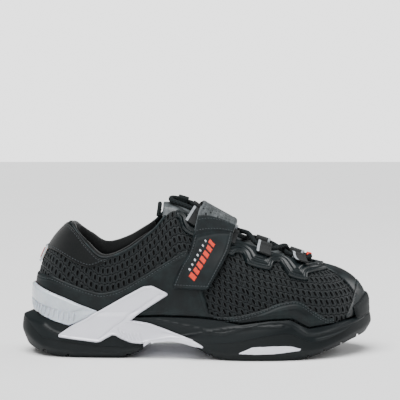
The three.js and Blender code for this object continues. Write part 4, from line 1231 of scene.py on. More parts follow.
def rubber_shape():
    k = AROUND
    rubber, tread = flare(k) - RUBBER_TUCK, flare(k) - TREAD_TUCK
    rings = [ledge(k, tread, TREAD_RIM + 0.2, GROUND, TREAD_DEPTH), ledge(k, tread, TREAD_RIM, GROUND),
             sole_edge(k, tread, GROUND)]
    rings += [sole_wall(k, u) for u in np.linspace(0.12, 2, 16)]
    rings += [ledge(k, rubber, OUTSOLE_WALL, RUBBER_TOP),
              ledge(k, tread, OUTSOLE_WALL, GROUND, OUTSOLE_FLOOR)]
    return ring_solid(rings)


def grooves(places):
    shapes = []
    for x in places:
        z = float(height_on(GROUND, x * GRADE[0]))
        shapes.append(box_shape((x * GRADE[0] - GROOVE_WIDTH / 2, -200, z - 60),
                                (x * GRADE[0] + GROOVE_WIDTH / 2, 200, z + GROOVE_DEPTH)))
    return shapes


def tread_cell(length, width, height):
    """A chevron lug of the tread, hanging down from its own plane."""
    half, arm = length / 2, width / 2
    outline = [(-half, -arm), (0, -arm + 1.6), (half, -arm), (half, -arm + 1.7), (0, -arm + 3.3),
               (-half, -arm + 1.7)]
    top, low = [(x, y, 0.3) for x, y in outline], [(x, y, -height) for x, y in outline]
    n = len(outline)
    faces = [list(range(n)), [n + i for i in reversed(range(n))]]
    faces += [[(i + 1) % n, i, n + i, n + (i + 1) % n] for i in range(n)]
    return make_object("lug", np.array(top + low), faces)


LUG, LUG_PITCH, LUG_ROWS, LUG_INSET = (6.4, 3.4), (6.8, 3.9), 28, 3.4
# Added to the places on the tread's chart, so that none is below zero.
CHART_SHIFT = np.array([200, 100])


def tread(name, x0, x1):
    """Chevron lugs under the sole between two places along it, kept inside its edge."""
    x, s = np.linspace(x0, x1, 60), np.linspace(-1, 1, 30)
    sides = []
    for side in (-1, 1):
        k = mirrored(np.linspace(0.05, TOE - 0.05, 400), side)
        edge = feather(k) + outward(k) * (flare(k) - TREAD_TUCK - LUG_INSET)[:, None]
        order = np.argsort(edge[:, 0])
        sides.append(np.interp(x, edge[order, 0], edge[order, 1]))
    low, high = sides
    y = low[:, None] + (high - low)[:, None] * (s[None] + 1) / 2
    xx = np.broadcast_to(x[:, None], y.shape)
    guide = guide_object(np.stack([xx, y, height_on(GROUND, xx) + TREAD_DEPTH], -1),
                         np.stack([xx, y], -1) + CHART_SHIFT)
    cell = tread_cell(*LUG, TREAD_DEPTH - 0.05)
    middle = np.array([(x0 + x1) / 2, 0]) + CHART_SHIFT
    obj = run_group(name, guide, TREES["wrap"], {
        "Cell": cell, "Pitch Along": LUG_PITCH[0] * MM, "Pitch Across": LUG_PITCH[1] * MM,
        "Columns": int((x1 - x0) / LUG_PITCH[0]), "Rows": LUG_ROWS, "Stagger": 0.0,
        "Origin": (*middle * MM, 0.0), "Material": FINISHES["rubber"]}, 20)
    drop(guide, cell)
    return piece(name, obj, "rubber", "shoe", smooth_angle=20, weld=False)


WINDOW = [(34, 6.2), (49, 5.6), (64, 6), (85, 8.4), (86, 10.4), (78, 12.6), (70, 13.2), (46, 12.4), (38, 8.8),
          (35, 7.5)]
WINDOW_SPAN = 6.4, 9.9


class SHOE_OT_outsole(bpy.types.Operator):
    """Rubber outsole in two parts, its grooves, its tread and the pale windows"""
    bl_idname = "shoe.outsole"
    bl_label = "Outsole"

    def execute(self, context):
        for name, x0, x1, places, node in (
                ("outsole_heel_rubber", -400, HEEL_RUBBER_END, HEEL_GROOVES, "outsole_heel"),
                ("outsole_forefoot_rubber", FORE_RUBBER_START, 400, FORE_GROOVES, "outsole_forefoot")):
            obj = tidy(make_object(name, *rubber_shape()))
            slice_x(obj, x0, x1)
            cut_away(obj, grooves(places))
            piece(name, obj, "rubber", "shoe", [node], 35)
        tread("tread_lugs_heel", -138 * GRADE[0], HEEL_RUBBER_END - 4)
        tread("tread_lugs_forefoot", FORE_RUBBER_START + 8, 140 * GRADE[0])
        field = side_field(rounded(WINDOW, corner=0.12))
        for label, side in SIDES.items():
            shape = patch(skin, between(side, *WINDOW_SPAN), (0, 0.25), field,
                          lambda d, p: -0.4 + 0.75 * round_edge(d, 0.9), -1.8, 0.6)
            piece(f"window_{label}", shape, "pearl", "shoe", [f"window_insert_{label}"])
        return {"FINISHED"}


ARM_UP_LOW = [(-117, 17.4), (-100, 15.2), (-82, 13.1), (-68.8, 20.4), (-55.3, 32), (-40, 43), (-23, 54)]
ARM_UP_HIGH = [(-37.4, 61), (-44.5, 60.3), (-60, 52), (-84, 38.2), (-103.6, 27.8), (-117.4, 18)]
ARM_DOWN_LOW = [(-98, 24), (-80, 20), (-68.2, 19.2), (-63, 16.1), (-54.6, 12.9), (-46, 12.2), (-36, 14.4),
                (-22, 16.4), (-10, 15.2), (5, 10.2)]
ARM_DOWN_HIGH = [(5.5, 11.4), (-6, 17), (-24, 24.3), (-40, 30), (-55.3, 32.4), (-84, 34), (-98, 30)]
PLATE_RIB_LINES = [[(x, low), (x - 3, low + 6.5)] for x, low in (
    (-63.5, 18), (-60.5, 16.6), (-57.5, 15.4), (-54.5, 14.6), (-51.5, 14.2), (-48.5, 14), (-45.5, 13.8))]
PLATE_GROOVE = [(-82, 16), (-70.7, 25.5), (-52, 39.5), (-31, 54.5)]
PLATE_SPAN = 1.7, 6.75
WING_LIFT, WING_WALL, PLATE_WALL = 0.9, 2.0, 2.2


def plate_relief(d, points):
    """Height of the plate's face: rounded edge, raised border, one long groove and a short row of ribs."""
    flat = points[:, [0, 2]] / GRADE[[0, 2]]
    face = WING_LIFT + WING_WALL * round_edge(d, 1.1) - 0.7 * smoothstep(d, 1.5, 2.3)
    face -= 0.9 * bump_at(distance_to(np.array(PLATE_GROOVE), flat, closed=False), 0, 0.7)
    for line in PLATE_RIB_LINES:
        face += 1.0 * bump_at(distance_to(np.array(line), flat, closed=False), 0, 0.8)
    return face


class SHOE_OT_shank(bpy.types.Operator):
    """Pearl plate whose arms cross on each side of the arch"""
    bl_idname = "shoe.shank"
    bl_label = "Shank plate"

    def execute(self, context):
        up = rounded(ARM_UP_LOW + ARM_UP_HIGH, corner=0.16)
        down = rounded(ARM_DOWN_LOW + ARM_DOWN_HIGH, corner=0.2)
        arms = side_field(up, down)
        parts = [patch(skin, between(side, *PLATE_SPAN), (0, 0.8), arms, plate_relief, WING_LIFT, 0.7)
                 for side in (-1, 1)]
        k = AROUND
        rubber, tread = flare(k) - RUBBER_TUCK, flare(k) - TREAD_TUCK
        top = OUTSOLE_FLOOR - GAP
        wing = flare(k) + WING_LIFT
        under = make_object("under", *ring_solid([
            sole_edge(k, tread, GROUND, top - PLATE_WALL),
            sole_edge(k, wing + WING_WALL - 1.2, GROUND, top - PLATE_WALL + 0.3),
            sole_edge(k, wing + WING_WALL - GAP, GROUND, top - PLATE_WALL + 1.4),
            sole_edge(k, wing + WING_WALL - GAP, RUBBER_TOP, 1), sole_edge(k, wing, RUBBER_TOP, 1),
            ledge(k, rubber, -RUBBER_TUCK - WING_LIFT, RUBBER_TOP, -GAP),
            ledge(k, rubber, OUTSOLE_WALL, RUBBER_TOP, -GAP), ledge(k, tread, OUTSOLE_WALL, GROUND, top)]))
        tidy(under)
        slice_x(under, HEEL_RUBBER_END + 2 * GAP, FORE_RUBBER_START - 2 * GAP)
        parts.append((np.array([v.co for v in under.data.vertices]) / MM,
                      [list(f.vertices) for f in under.data.polygons]))
        drop(under)
        piece("cross_plate", join_meshes(parts), "pearl", "shoe", ["shank_plate"], 38)
        return {"FINISHED"}


CLIP_LOW = [(-150, 41), (-139, 37.5), (-130.5, 34), (-118, 30), (-107, 27.2), (-101, 29.4), (-83, 38.6)]
CLIP_HIGH = [(-150, 61.5), (-138.4, 60.3), (-122.5, 54.5), (-110, 50), (-97.5, 44.8), (-83, 39.4)]
CLIP_END, CLIP_RIBS_END, CLIP_WALL = 2.88, 2.3, 2.4


class SHOE_OT_heel_clip(bpy.types.Operator):
    """Milky clip round the heel, ribbed along its lower half"""
    bl_idname = "shoe.heel_clip"
    bl_label = "Heel clip"

    def execute(self, context):
        low, high = on_line(skin, CLIP_LOW), on_line(skin, CLIP_HIGH)

        def face(d, points):
            flat_height = points[:, 2] - height_on(CLIP_LOW, points[:, 0])
            step = smoothstep(flat_height, 9.5, 11.0) * 1.1
            return WING_LIFT + (CLIP_WALL - 1.1) * round_edge(d, 1.2) + step * smoothstep(d, 0.4, 1.6)
        shape = band(skin, -CLIP_END, CLIP_END, low, high, face, WING_LIFT)
        piece("heel_clip_shell", shape, "milky", "shoe", ["heel_clip"])
        k = np.linspace(-CLIP_RIBS_END, CLIP_RIBS_END, 120)
        share = np.linspace(0.08, 0.52, 8)
        k_grid = np.repeat(k[:, None], 8, 1)
        w_grid = low(k)[:, None] + (high(k) - low(k))[:, None] * share
        guide, run, rise = chart_guide(skin, k_grid, w_grid, WING_LIFT + CLIP_WALL - 1.0)
        rib = net_rib(2.6, rise * 0.92, 1.3)
        pitch = context.scene.court_shoe.rib_pitch / MM
        obj = run_group("heel_clip_ribs", guide, TREES["wrap"], {
            "Cell": rib, "Pitch Along": pitch * MM, "Pitch Across": rise * MM, "Columns": int(run / pitch),
            "Rows": 1, "Stagger": 0.0, "Origin": (run / 2 * MM, rise / 2 * MM, 0.0),
            "Material": FINISHES["milky"]})
        drop(guide, rib)
        piece("heel_clip_ribs", obj, "milky", "shoe", weld=False)
        return {"FINISHED"}


def net_rib(width, height, rise, rows=5, sides=7):
    """A rib with a half-round section that runs out at both ends."""
    points = []
    for t in np.linspace(-1, 1, rows):
        r = math.sqrt(max(0.02, 1 - t ** 4))
        for a in np.linspace(0, math.pi, sides):
            points.append((math.cos(a) * width / 2 * r, t * height / 2, math.sin(a) * rise * r))
    faces = [[r * sides + i, r * sides + i + 1, (r + 1) * sides + i + 1, (r + 1) * sides + i]
             for r in range(rows - 1) for i in range(sides - 1)]
    faces += [[r * sides + sides - 1, r * sides, (r + 1) * sides, (r + 1) * sides + sides - 1]
              for r in range(rows - 1)]
    faces += [list(range(sides)), [(rows - 1) * sides + i for i in reversed(range(sides))]]
    obj = make_object("rib", np.array(points), faces)
    with editing(obj) as work:
        bmesh.ops.recalc_face_normals(work, faces=work.faces)
    return obj


BUMPER_TOP = [(118, 33), (128, 38), (138, 44.5), (146, 52), (160, 53.5)]
BUMPER_END, BUMPER_WALL = 0.95, 2.0


class SHOE_OT_toe_bumper(bpy.types.Operator):
    """Rubber wrapped up over the toe"""
    bl_idname = "shoe.toe_bumper"
    bl_label = "Toe bumper"

    def execute(self, context):
        shape = band(skin, TOE - BUMPER_END, TOE + BUMPER_END,
                     on_line(skin, RUBBER_TOP, 1.0), on_line(skin, BUMPER_TOP),
                     lambda d, p: GAP + BUMPER_WALL * round_edge(d, 5.5) + 0.2 * bump_at(d, 6.5, 0.7), GAP)
        piece("toe_wrap", shape, "rubber", "shoe", ["toe_bumper"])
        return {"FINISHED"}


# ---- inside the shoe -----------------------------------------------------------------------------

UPPER_WALL, COUNTER_WALL, LINER_WALL, BOARD_WALL = 1.6, 1.5, 4.5, 1.5
INSIDE = UPPER_WALL + GAP
STIFFENER_INSIDE = INSIDE + COUNTER_WALL + 2 * GAP


class SHOE_OT_inside(bpy.types.Operator):
    """Insole, and finishes for the board and the stiffeners"""
    bl_idname = "shoe.inside"
    bl_label = "Inside"

    def execute(self, context):
        k = AROUND

        def bed(out, lift):
            return feather(k) + outward(k) * out + up_by(np.full_like(k, lift))
        seat = BOARD_WALL + GAP
        top = seat + LINER_WALL
        rings = [bed(-STIFFENER_INSIDE - 1.5, seat), bed(-STIFFENER_INSIDE, seat + 1.2),
                 bed(-STIFFENER_INSIDE + 0.2, top - 0.6), bed(-STIFFENER_INSIDE - 0.6, top),
                 bed(-STIFFENER_INSIDE - 2.5, top - 0.2), bed(-STIFFENER_INSIDE - 4, top - 1.4),
                 bed(-STIFFENER_INSIDE - 6, top - 2)]
        piece("insole_liner", ring_solid(rings), "sock", "shoe", ["insole"])
        for node, cover in (("lasting_board", "board"), ("heel_counter", "lining"), ("toe_puff", "lining")):
            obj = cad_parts[node]
            obj.data.materials.clear()
            obj.data.materials.append(FINISHES[cover])
        return {"FINISHED"}


# ---- upper ---------------------------------------------------------------------------------------

SADDLE_TOP = flowing([(-150, 70), (-131.5, 68), (-121, 67.5), (-111.5, 64), (-101, 60), (-90.5, 56.5),
                      (-80.5, 54.5), (-70.5, 56), (-60, 60), (-43, 70), (-26.5, 80), (-10, 89.5), (0, 93)])
RAND_TOP = flowing([(-6, 60), (0, 49), (8, 41), (13, 37.5), (20, 36), (35, 37), (53, 41.5), (67, 46.5),
                    (80, 48.5), (87, 47), (94, 42), (102, 36.5), (108, 33)])
CAP_EDGE = [(100, 30), (111, 31), (119, 33), (127, 36), (131, 44.5), (134, 55), (136, 60), (160, 64)]
PANEL_LOW = flowing([(-140, 90), (-121.5, 88.5), (-112, 84.5), (-101, 78.5), (-90.5, 75), (-83, 77),
                     (-76, 80)])
STAY_LOW = flowing([(-30, 116), (-17, 116), (-14.5, 111), (-11, 105), (-0.5, 99), (14.5, 93), (28, 85),
                    (33, 86.5), (37.5, 85.5), (41.5, 78), (60, 73), (64.5, 78), (70, 77.5), (75, 68.5),
                    (91, 64), (94, 69), (110, 71)])
QUARTER_END, SADDLE_END, RAND_END, STAY_END, THROAT_TOP = 7.4, 6.15, 9.35, 10.3, 6.02
CAP_START, CAP_TOP, CAP_FULL, PANEL_END, PANEL_TOP = 9.75, 0.915, 0.7, 3.15, 0.985
K_GAP, LEVEL_GAP = 0.02, 0.008
EYESTAY_WALL, OVERLAY_WALL, NET_DEPTH = 2.2, 1.3, 0.55


# The heel tab: the ends of its frame, and the heights of the frame and of the centre inside it.
TAB_END, TAB_HEIGHTS = 0.3, (77, 79.5, 88.5, 91)


def above_rim(k):
    return level_on(upper, k, RIM, 1.0)


class SHOE_OT_mesh_upper(bpy.types.Operator):
    """Air mesh of the quarters and the vamp: a net with oval holes over a darker backing"""
    bl_idname = "shoe.mesh_upper"
    bl_label = "Air mesh"

    def execute(self, context):
        shoe = context.scene.court_shoe
        width, height = shoe.column_pitch / MM, shoe.row_pitch / MM
        cell = net_cell(width, height, shoe.hole_width / MM, shoe.hole_height / MM)
        for label, k0, k1 in (("quarter_mesh_lateral", K_GAP / 2, QUARTER_END),
                              ("quarter_mesh_medial", ROUND - QUARTER_END, ROUND - K_GAP / 2),
                              ("vamp_mesh", QUARTER_END + K_GAP, ROUND - QUARTER_END - K_GAP)):
            k, v = np.meshgrid(np.linspace(k0, k1, int((k1 - k0) * 18)), np.linspace(0, 1, 60), indexing="ij")
            points, normal = upper(k, v), normal_of(upper, k, v)
            shape = closed_sheet((points - NET_DEPTH * normal).reshape(-1, 3),
                                 (points - UPPER_WALL * normal).reshape(-1, 3), grid_faces(*k.shape))
            piece(f"{label}_backing", shape, "backing", "shoe", [label])
        for name, k0, k1 in (("quarter_net", -QUARTER_END, QUARTER_END),
                             ("vamp_net", QUARTER_END - 0.1, ROUND - QUARTER_END + 0.1)):
            columns = np.linspace(k0, k1, int((k1 - k0) * 18))
            low = rim_level(columns)[:, None]
            v = low + (1 - low) * np.linspace(0, 1, 50)[None]
            guide, run, rise = chart_guide(upper, np.repeat(columns[:, None], 50, 1), v, 0.1, from_top=True)
            columns_on, rows_on = int(run / width) + 1, int(rise / height) + 2
            obj = run_group(name, guide, TREES["wrap"], {
                "Cell": cell, "Pitch Along": width * MM, "Pitch Across": height * MM,
                "Columns": columns_on, "Rows": rows_on, "Stagger": 0.5,
                "Origin": (run / 2 * MM, (rise - rows_on / 2 * height) * MM, 0.0),
                "Material": FINISHES["net"]}, 60)
            drop(guide)
            piece(name, obj, "net", "shoe", weld=False)
        drop(cell)
        return {"FINISHED"}


def overlay_face(wall, ridges=(), rand_bulge=0.0):
    """Face of an overlay: a rounded edge, raised lines at given distances from it, and a soft bulge."""
    def face(d, points):
        height = GAP + wall * round_edge(d, 0.9)
        for at, rise, width in ridges:
            height = height + rise * bump_at(d, at, width)
        if rand_bulge:
            x = points[:, 0] / GRADE[0]
            window = smoothstep(x, 22, 62) * (1 - smoothstep(x, 84, 104))
            height = height + rand_bulge * window * smoothstep(d, 1.5, 7.5)
        return height
    return face


class SHOE_OT_overlays(bpy.types.Operator):
    """Leather saddles and rands, toe cap, vamp top, collar panel and heel tab"""
    bl_idname = "shoe.overlays"
    bl_label = "Overlays"

    def execute(self, context):
        for label, side in SIDES.items():
            k0, k1 = between(side, K_GAP / 2, RAND_END)

            def high(k):
                front = np.minimum(k, ROUND - k) > SADDLE_END
                return np.where(front, level_on(upper, k, RAND_TOP), level_on(upper, k, SADDLE_TOP))
            outline = band_outline(k0, k1, above_rim, high, 420)
            shape = patch(upper, (k0, k1), (0, 1), edge_field(upper, outline),
                          overlay_face(OVERLAY_WALL, ((1.4, 0.3, 0.6), (4.2, 0.3, 0.5)), 1.7), GAP)
            piece(f"saddle_{label}_leather", shape, "overlay", "shoe",
                  [f"saddle_{label}", f"rand_{label}"])
        bands = (
            ("toe_cap_leather", "toe_cap", CAP_START, ROUND - CAP_START, above_rim,
             on_line(upper, CAP_EDGE), ((1.0, 0.2, 0.5),), "smooth"),
            ("vamp_top_leather", "vamp_top", TOE - CAP_FULL, TOE + CAP_FULL,
             lambda k: level_on(upper, k, CAP_EDGE) + LEVEL_GAP, held_at(CAP_TOP), (), "smooth"),
            ("collar_panel_suede", "collar_panel", -PANEL_END, PANEL_END,
             on_line(upper, PANEL_LOW), held_at(PANEL_TOP), ((1.1, 0.2, 0.5),), "suede"),
        )
        for name, node, k0, k1, low, high, ridges, material in bands:
            shape = band(upper, k0, k1, low, high, overlay_face(OVERLAY_WALL, ridges), GAP)
            piece(name, shape, material, "shoe", [node])
        low, centre_low, centre_high, high = (
            held_at(float(level_on(skin, np.zeros(1), [(-1, z), (1, z)])[0])) for z in TAB_HEIGHTS)
        shape = band(skin, -TAB_END, TAB_END, low, high,
                     lambda d, p: GAP + 1.3 * round_edge(d, 0.8) - 0.5 * smoothstep(d, 1.2, 1.7), GAP, 0.5)
        piece("heel_tab_frame", shape, "milky", "shoe", ["heel_tab"])
        for name, k0, k1, material, height in (("heel_tab_centre", -0.2, 0.2, "smooth", 1.3),
                                               ("heel_tab_mark", -0.045, 0.045, "print", 1.7)):
            shape = band(skin, k0, k1, centre_low, centre_high,
                         lambda d, p: 1.0 + (height - 1.0) * round_edge(d, 0.4), 1.0, 0.4)
            piece(name, shape, material, "shoe")
        return {"FINISHED"}


class SHOE_OT_eyestay(bpy.types.Operator):
    """Moulded lace stays with two ridges along their waves, and the bar across the vamp"""
    bl_idname = "shoe.eyestay"
    bl_label = "Lace stays"

    def execute(self, context):
        for label, side in SIDES.items():
            k0, k1 = between(side, THROAT_TOP, STAY_END)
            low = band_outline(k0, k1, on_line(upper, STAY_LOW), held_at(1.0), 420)
            wave = upper(*fine_steps(low[:420]).T)

            def face(d, points):
                from_wave = nearest(points, wave)
                ridges = 1.0 * bump_at(from_wave, 1.7, 0.95) + 0.9 * bump_at(from_wave, 6.0, 1.0)
                dip = 0.75 * smoothstep(from_wave, 2.2, 3.4) * (1 - smoothstep(from_wave, 8.5, 10))
                return GAP + EYESTAY_WALL * round_edge(d, 1.3) + ridges - dip
            levels = low[:, 1].min() - 0.02, 1
            shape = patch(upper, (k0, k1), levels, edge_field(upper, low), face, GAP, 0.6)
            piece(f"eyestay_{label}_moulding", shape, "stay", "shoe", [f"eyestay_{label}"])
        k0, k1 = STAY_END + K_GAP, ROUND - STAY_END - K_GAP
        shape = band(upper, k0, k1, held_at(CAP_TOP + LEVEL_GAP), held_at(1.0),
                     overlay_face(EYESTAY_WALL, ((1.2, 0.3, 0.6),)), GAP)
        piece("vamp_bar_moulding", shape, "stay", "shoe", ["vamp_bar"])
        return {"FINISHED"}


# ---- padded collar and tongue --------------------------------------------------------------------


def puffed(obj, most, pressure=4.0, frames=20):
    """Swells a padded piece by cloth simulation, keeps each point within a cap and bakes the result in."""
    scene = bpy.context.scene
    rest = np.array([v.co for v in obj.data.vertices])
    modifier = obj.modifiers.new("cloth", "CLOTH")
    settings = modifier.settings
    settings.quality, settings.mass = 5, 0.3
    settings.tension_stiffness = settings.compression_stiffness = 12
    settings.bending_stiffness = 0.4
    settings.use_pressure, settings.uniform_pressure_force = True, pressure
    settings.effector_weights.gravity = 0
    modifier.point_cache.frame_start, modifier.point_cache.frame_end = 1, frames
    for number in range(1, frames + 1):
        scene.frame_set(number)
    moved = np.array([v.co for v in obj.evaluated_get(bpy.context.evaluated_depsgraph_get()).data.vertices])
    obj.modifiers.remove(modifier)
    scene.frame_set(1)
    shift = moved - rest
    reach = np.linalg.norm(shift, axis=1, keepdims=True)
    shift *= np.minimum(1, most * MM / np.maximum(reach, 1e-9))
    obj.data.vertices.foreach_set("co", (rest + shift).ravel().astype(np.float32))
    obj.data.update()


def subdivided(obj):
    """One level of subdivision, made part of the mesh."""
    modifier = obj.modifiers.new("finer", "SUBSURF")
    modifier.levels = modifier.render_levels = 1
    obj.data = baked(obj, modifier)
    obj.data.shade_smooth()


def lofted(sections):
    """A closed body through closed sections of equal length, with its ends closed."""
    sections = np.asarray(sections)
    rows, n = sections.shape[:2]
    points = np.concatenate([sections.reshape(-1, 3), sections[0].mean(0)[None], sections[-1].mean(0)[None]])
    faces, first, last = tube_faces(rows, n), rows * n, rows * n + 1
    faces += [[first, (i + 1) % n, i] for i in range(n)]
    faces += [[last, (rows - 1) * n + i, (rows - 1) * n + (i + 1) % n] for i in range(n)]
    return points, faces


COLLAR_END, COLLAR_TAPER, COLLAR_PAD, COLLAR_ROLL = 5.05, 0.9, 6.0, 4.6
PIPING_END, PIPING_RADIUS = 5.6, 1.1


class SHOE_OT_collar(bpy.types.Operator):
    """Padded ankle collar with its roll, and the piping round its edge"""
    bl_idname = "shoe.collar"
    bl_label = "Collar"

    def execute(self, context):
        sections = []
        low = STIFFENER_INSIDE - INSIDE
        for k in np.linspace(-COLLAR_END, COLLAR_END, 150):
            full = float(smoothstep(COLLAR_END - abs(k), -0.5, COLLAR_TAPER))
            pad, roll = COLLAR_PAD * full, COLLAR_ROLL * full
            spots = [(0.6, low, 0), (0.8, 0, 0), (0.95, 0.3, 0), (1, 0.2, 0.5 * roll),
                     (1, 0.35 * pad + 0.6, roll), (1, 0.8 * pad + 0.8, 0.85 * roll), (0.95, pad + 1.2, 0),
                     (0.8, pad, 0), (0.66, 0.6 * pad + low, 0)]
            ring = [layer(np.array([k]), np.array([v]), [-INSIDE - depth])[0] + [0, 0, lift]
                    for v, depth, lift in spots]
            sections.append(flowing(ring, closed=True, steps=5))
        obj = tidy(make_object("collar_padding", *lofted(sections), 70))
        puffed(obj, 1.2)
        subdivided(obj)
        piece("collar_padding", obj, "lining", "shoe", ["collar_foam"], 70)
        k = np.linspace(-PIPING_END, PIPING_END, 420)
        route = layer(k, np.ones_like(k), np.full_like(k, -0.1)) + up_by(np.full_like(k, PIPING_RADIUS * 0.4))
        shape, chart = sweep(route, circle(PIPING_RADIUS, 12))
        piece("collar_edge_piping", shape, "piping", "shoe", ["collar_piping"], 60, chart)
        return {"FINISHED"}


def throat(k):
    """Frame of the throat at a station: a function that places points, and its along, up and half width."""
    low, e = max(k, THROAT_TOP), 0.05

    def edge(q):
        return top_edge(np.array([q]))[0]

    def centre(q):
        return (edge(q) + edge(ROUND - q)) / 2
    along = (centre(low + e) - centre(low - e)) * [1, 0, 1]
    along = along / np.linalg.norm(along)
    up = np.array([-along[2], 0, along[0]])
    half = (edge(ROUND - low) - edge(low))[1] / 2
    origin = centre(low) + along * (k - low) * 32 * GRADE[0]

    def at(y, h, d=0.0):
        return origin + np.array([0, y, 0]) + up * h + along * d
    return at, along, up, half


TONGUE_WALL, TONGUE_SINK, CROWN_LOW, CROWN_HIGH = 6.5, UPPER_WALL + 4 * GAP, 4.2, 7.0
TONGUE_BASE, TONGUE_END, TONGUE_OPEN, TONGUE_TUCK = 9.9, 5.66, 0.74, 0.15
KEEPER_STATION, KEEPER_WIDTH, KEEPER_HEIGHT, KEEPER_WALL, KEEPER_LENGTH = 6.15, 15.0, 7.3, 1.2, 9.0


def crown_at(k):
    return CROWN_LOW + (CROWN_HIGH - CROWN_LOW) * float(smoothstep(7 - k, 0, 1.3))


def tongue_top(k):
    return crown_at(k) - TONGUE_SINK


def tongue_point(k, s, depth):
    at, _, _, half = throat(k)
    thick = depth * TONGUE_WALL * (1 - 0.65 * s * s)
    thick *= 0.45 + 0.55 * float(smoothstep(TONGUE_BASE - k, 0, 1.5))
    beyond = max(THROAT_TOP - k, 0)
    y = np.clip(s / TONGUE_OPEN, -1, 1) * (half - 2.5) * (1 - 0.3 * beyond)
    tuck = (abs(s) - TONGUE_OPEN) / (1 - TONGUE_OPEN)
    if tuck <= 0:
        return at(y, tongue_top(k) - crown_at(k) * (y / half) ** 2 - thick)
    low = max(k, THROAT_TOP)
    station = low if s < 0 else ROUND - low
    shift = at(0, 0) - throat(low)[0](0, 0)
    level = 1 - TONGUE_TUCK * tuck * (1 - 2 * beyond)
    return layer(np.array([station]), np.array([level]),
                 [-INSIDE - 2 * GAP - thick - 9 * beyond])[0] + shift


def tongue_sections(stations, across=28):
    sections = []
    s = np.linspace(-1, 1, across)
    for k in stations:
        top = [tongue_point(k, a, 0.0) for a in s]
        low = [tongue_point(k, a, 1.0) for a in s[::-1]]
        sections.append(np.array(top + low))
    return sections


class SHOE_OT_tongue(bpy.types.Operator):
    """Padded tongue with its edge binding and the lace keeper"""
    bl_idname = "shoe.tongue"
    bl_label = "Tongue"

    def execute(self, context):
        body = lofted(tongue_sections(np.linspace(TONGUE_END, TONGUE_BASE, 90)))
        obj = tidy(make_object("tongue_pad", *body, 60))
        puffed(obj, 0.7)
        subdivided(obj)
        # The tongue's finish is light grey painted highlight over what is black leather.
        piece("tongue_pad", obj, "tongue", "shoe", ["tongue"], 60)
        rows = []
        for t in np.linspace(0, 1, 12):
            k = TONGUE_END - 0.04 - 0.1 * t
            section = tongue_sections([k], 28)[0]
            middle = section.mean(0)
            swell = 0.86 + 0.2 * math.sin(math.pi * (0.12 + 0.76 * t))
            rows.append(middle + (section - middle) * swell)
        piece("tongue_edge_binding", lofted(rows), "binding", "shoe", ["tongue_binding"], 60)
        at, along, _, _ = throat(KEEPER_STATION)
        width, height, wall, length = KEEPER_WIDTH, KEEPER_HEIGHT, KEEPER_WALL, KEEPER_LENGTH
        base = tongue_top(KEEPER_STATION) + GAP
        loop = rounded([(-width / 2, base), (width / 2, base), (width / 2, base + height),
                        (-width / 2, base + height)], steps=8, corner=0.3)
        loop = np.concatenate([loop, loop[:1]])
        inset = (loop - loop.mean(0)) * [(width - wall) / width, (height - wall) / height] + loop.mean(0)
        route = np.array([at(y, h) for y, h in sampled(inset, 0.6)])
        outward_dir = unit(route - route.mean(0) - along * ((route - route.mean(0)) @ along)[:, None])
        shape, chart = sweep(route, rounded_bar(length, wall), outward_dir)
        piece("tongue_lace_keeper", shape, "binding", "shoe", ["tongue_keeper"], 50, chart)
        return {"FINISHED"}


def rounded_bar(width, thickness, steps=3):
    """Section of flat webbing, beginning at one end of its outer face."""
    r = min(thickness * 0.45, 0.5)
    points = []
    x, y = width / 2 - r, thickness / 2 - r
    for cx, cy, start in ((x, y, 90), (x, -y, 0), (-x, -y, -90), (-x, y, -180)):
        for i in range(steps):
            a = math.radians(start - 90 * i / (steps - 1))
            points.append((cx + r * math.cos(a), cy + r * math.sin(a)))
    return np.array(points[-steps + 1:] + points[:-steps + 1])


# ---- lace loops and lace -------------------------------------------------------------------------

LOOP_STATIONS = (6.56, 7.46, 8.34, 9.42)
CAD_LACE_RADIUS, LACE_PLAY, LOOP_WALL, LOOP_WIDTH, LOOP_TAIL = 1.7, 0.7, 1.1, 12.5, 10.0
HOLE = CAD_LACE_RADIUS + LACE_PLAY
LOOP_OUTER = HOLE + LOOP_WALL
STAY_TOP = GAP + EYESTAY_WALL


def loop_frame(side, number):
    """Edge point, lace centre and the along, up and inward directions of a loop."""
    k = mirrored(LOOP_STATIONS[number], side)
    at, e = np.array([k]), 0.05
    edge = top_edge(at)[0]
    along = unit(top_edge(at + e)[0] - top_edge(at - e)[0]) * -side
    out = normal_of(upper, at, np.ones(1))[0]
    up = unit(out - along * (out @ along))
    inward = np.cross(along, up) * side
    centre = edge + inward * (LOOP_OUTER + 2 * GAP) + up * (LOOP_OUTER + GAP)
    return edge, centre, along, up, inward


class SHOE_OT_lace_loops(bpy.types.Operator):
    """Webbing loops along the throat, each with its tail laid on the stay"""
    bl_idname = "shoe.lace_loops"
    bl_label = "Lace loops"

    def execute(self, context):
        cx, cy, r = LOOP_OUTER + 2 * GAP, LOOP_OUTER + GAP, HOLE + LOOP_WALL / 2
        tail = STAY_TOP + GAP + LOOP_WALL / 2
        turns = [(cx + r * math.cos(math.radians(a)), cy + r * math.sin(math.radians(a)))
                 for a in range(150, -176, -25)]
        flat = [(-LOOP_TAIL, tail), (-LOOP_TAIL + 3, tail), (-4, tail + 0.1), (-1.2, tail + 0.9), *turns]
        flat = smooth_path([(a, b, 0) for a, b in flat], 0.8)[:, :2]
        step = unit(np.gradient(flat, axis=0))
        turn = np.stack([-step[:, 1], step[:, 0]], 1)
        for label, side in SIDES.items():
            for number in range(len(LOOP_STATIONS)):
                edge, _, _, up, inward = loop_frame(side, number)
                route = edge + flat[:, :1] * inward + flat[:, 1:] * up
                lean = turn[:, :1] * inward + turn[:, 1:] * up
                shape, chart = sweep(route, rounded_bar(LOOP_WIDTH, LOOP_WALL), lean)
                name = f"lace_loop_{label}_{number + 1}"
                piece(f"{name}_webbing", shape, "tape", "shoe", [name], 50, chart)
        return {"FINISHED"}


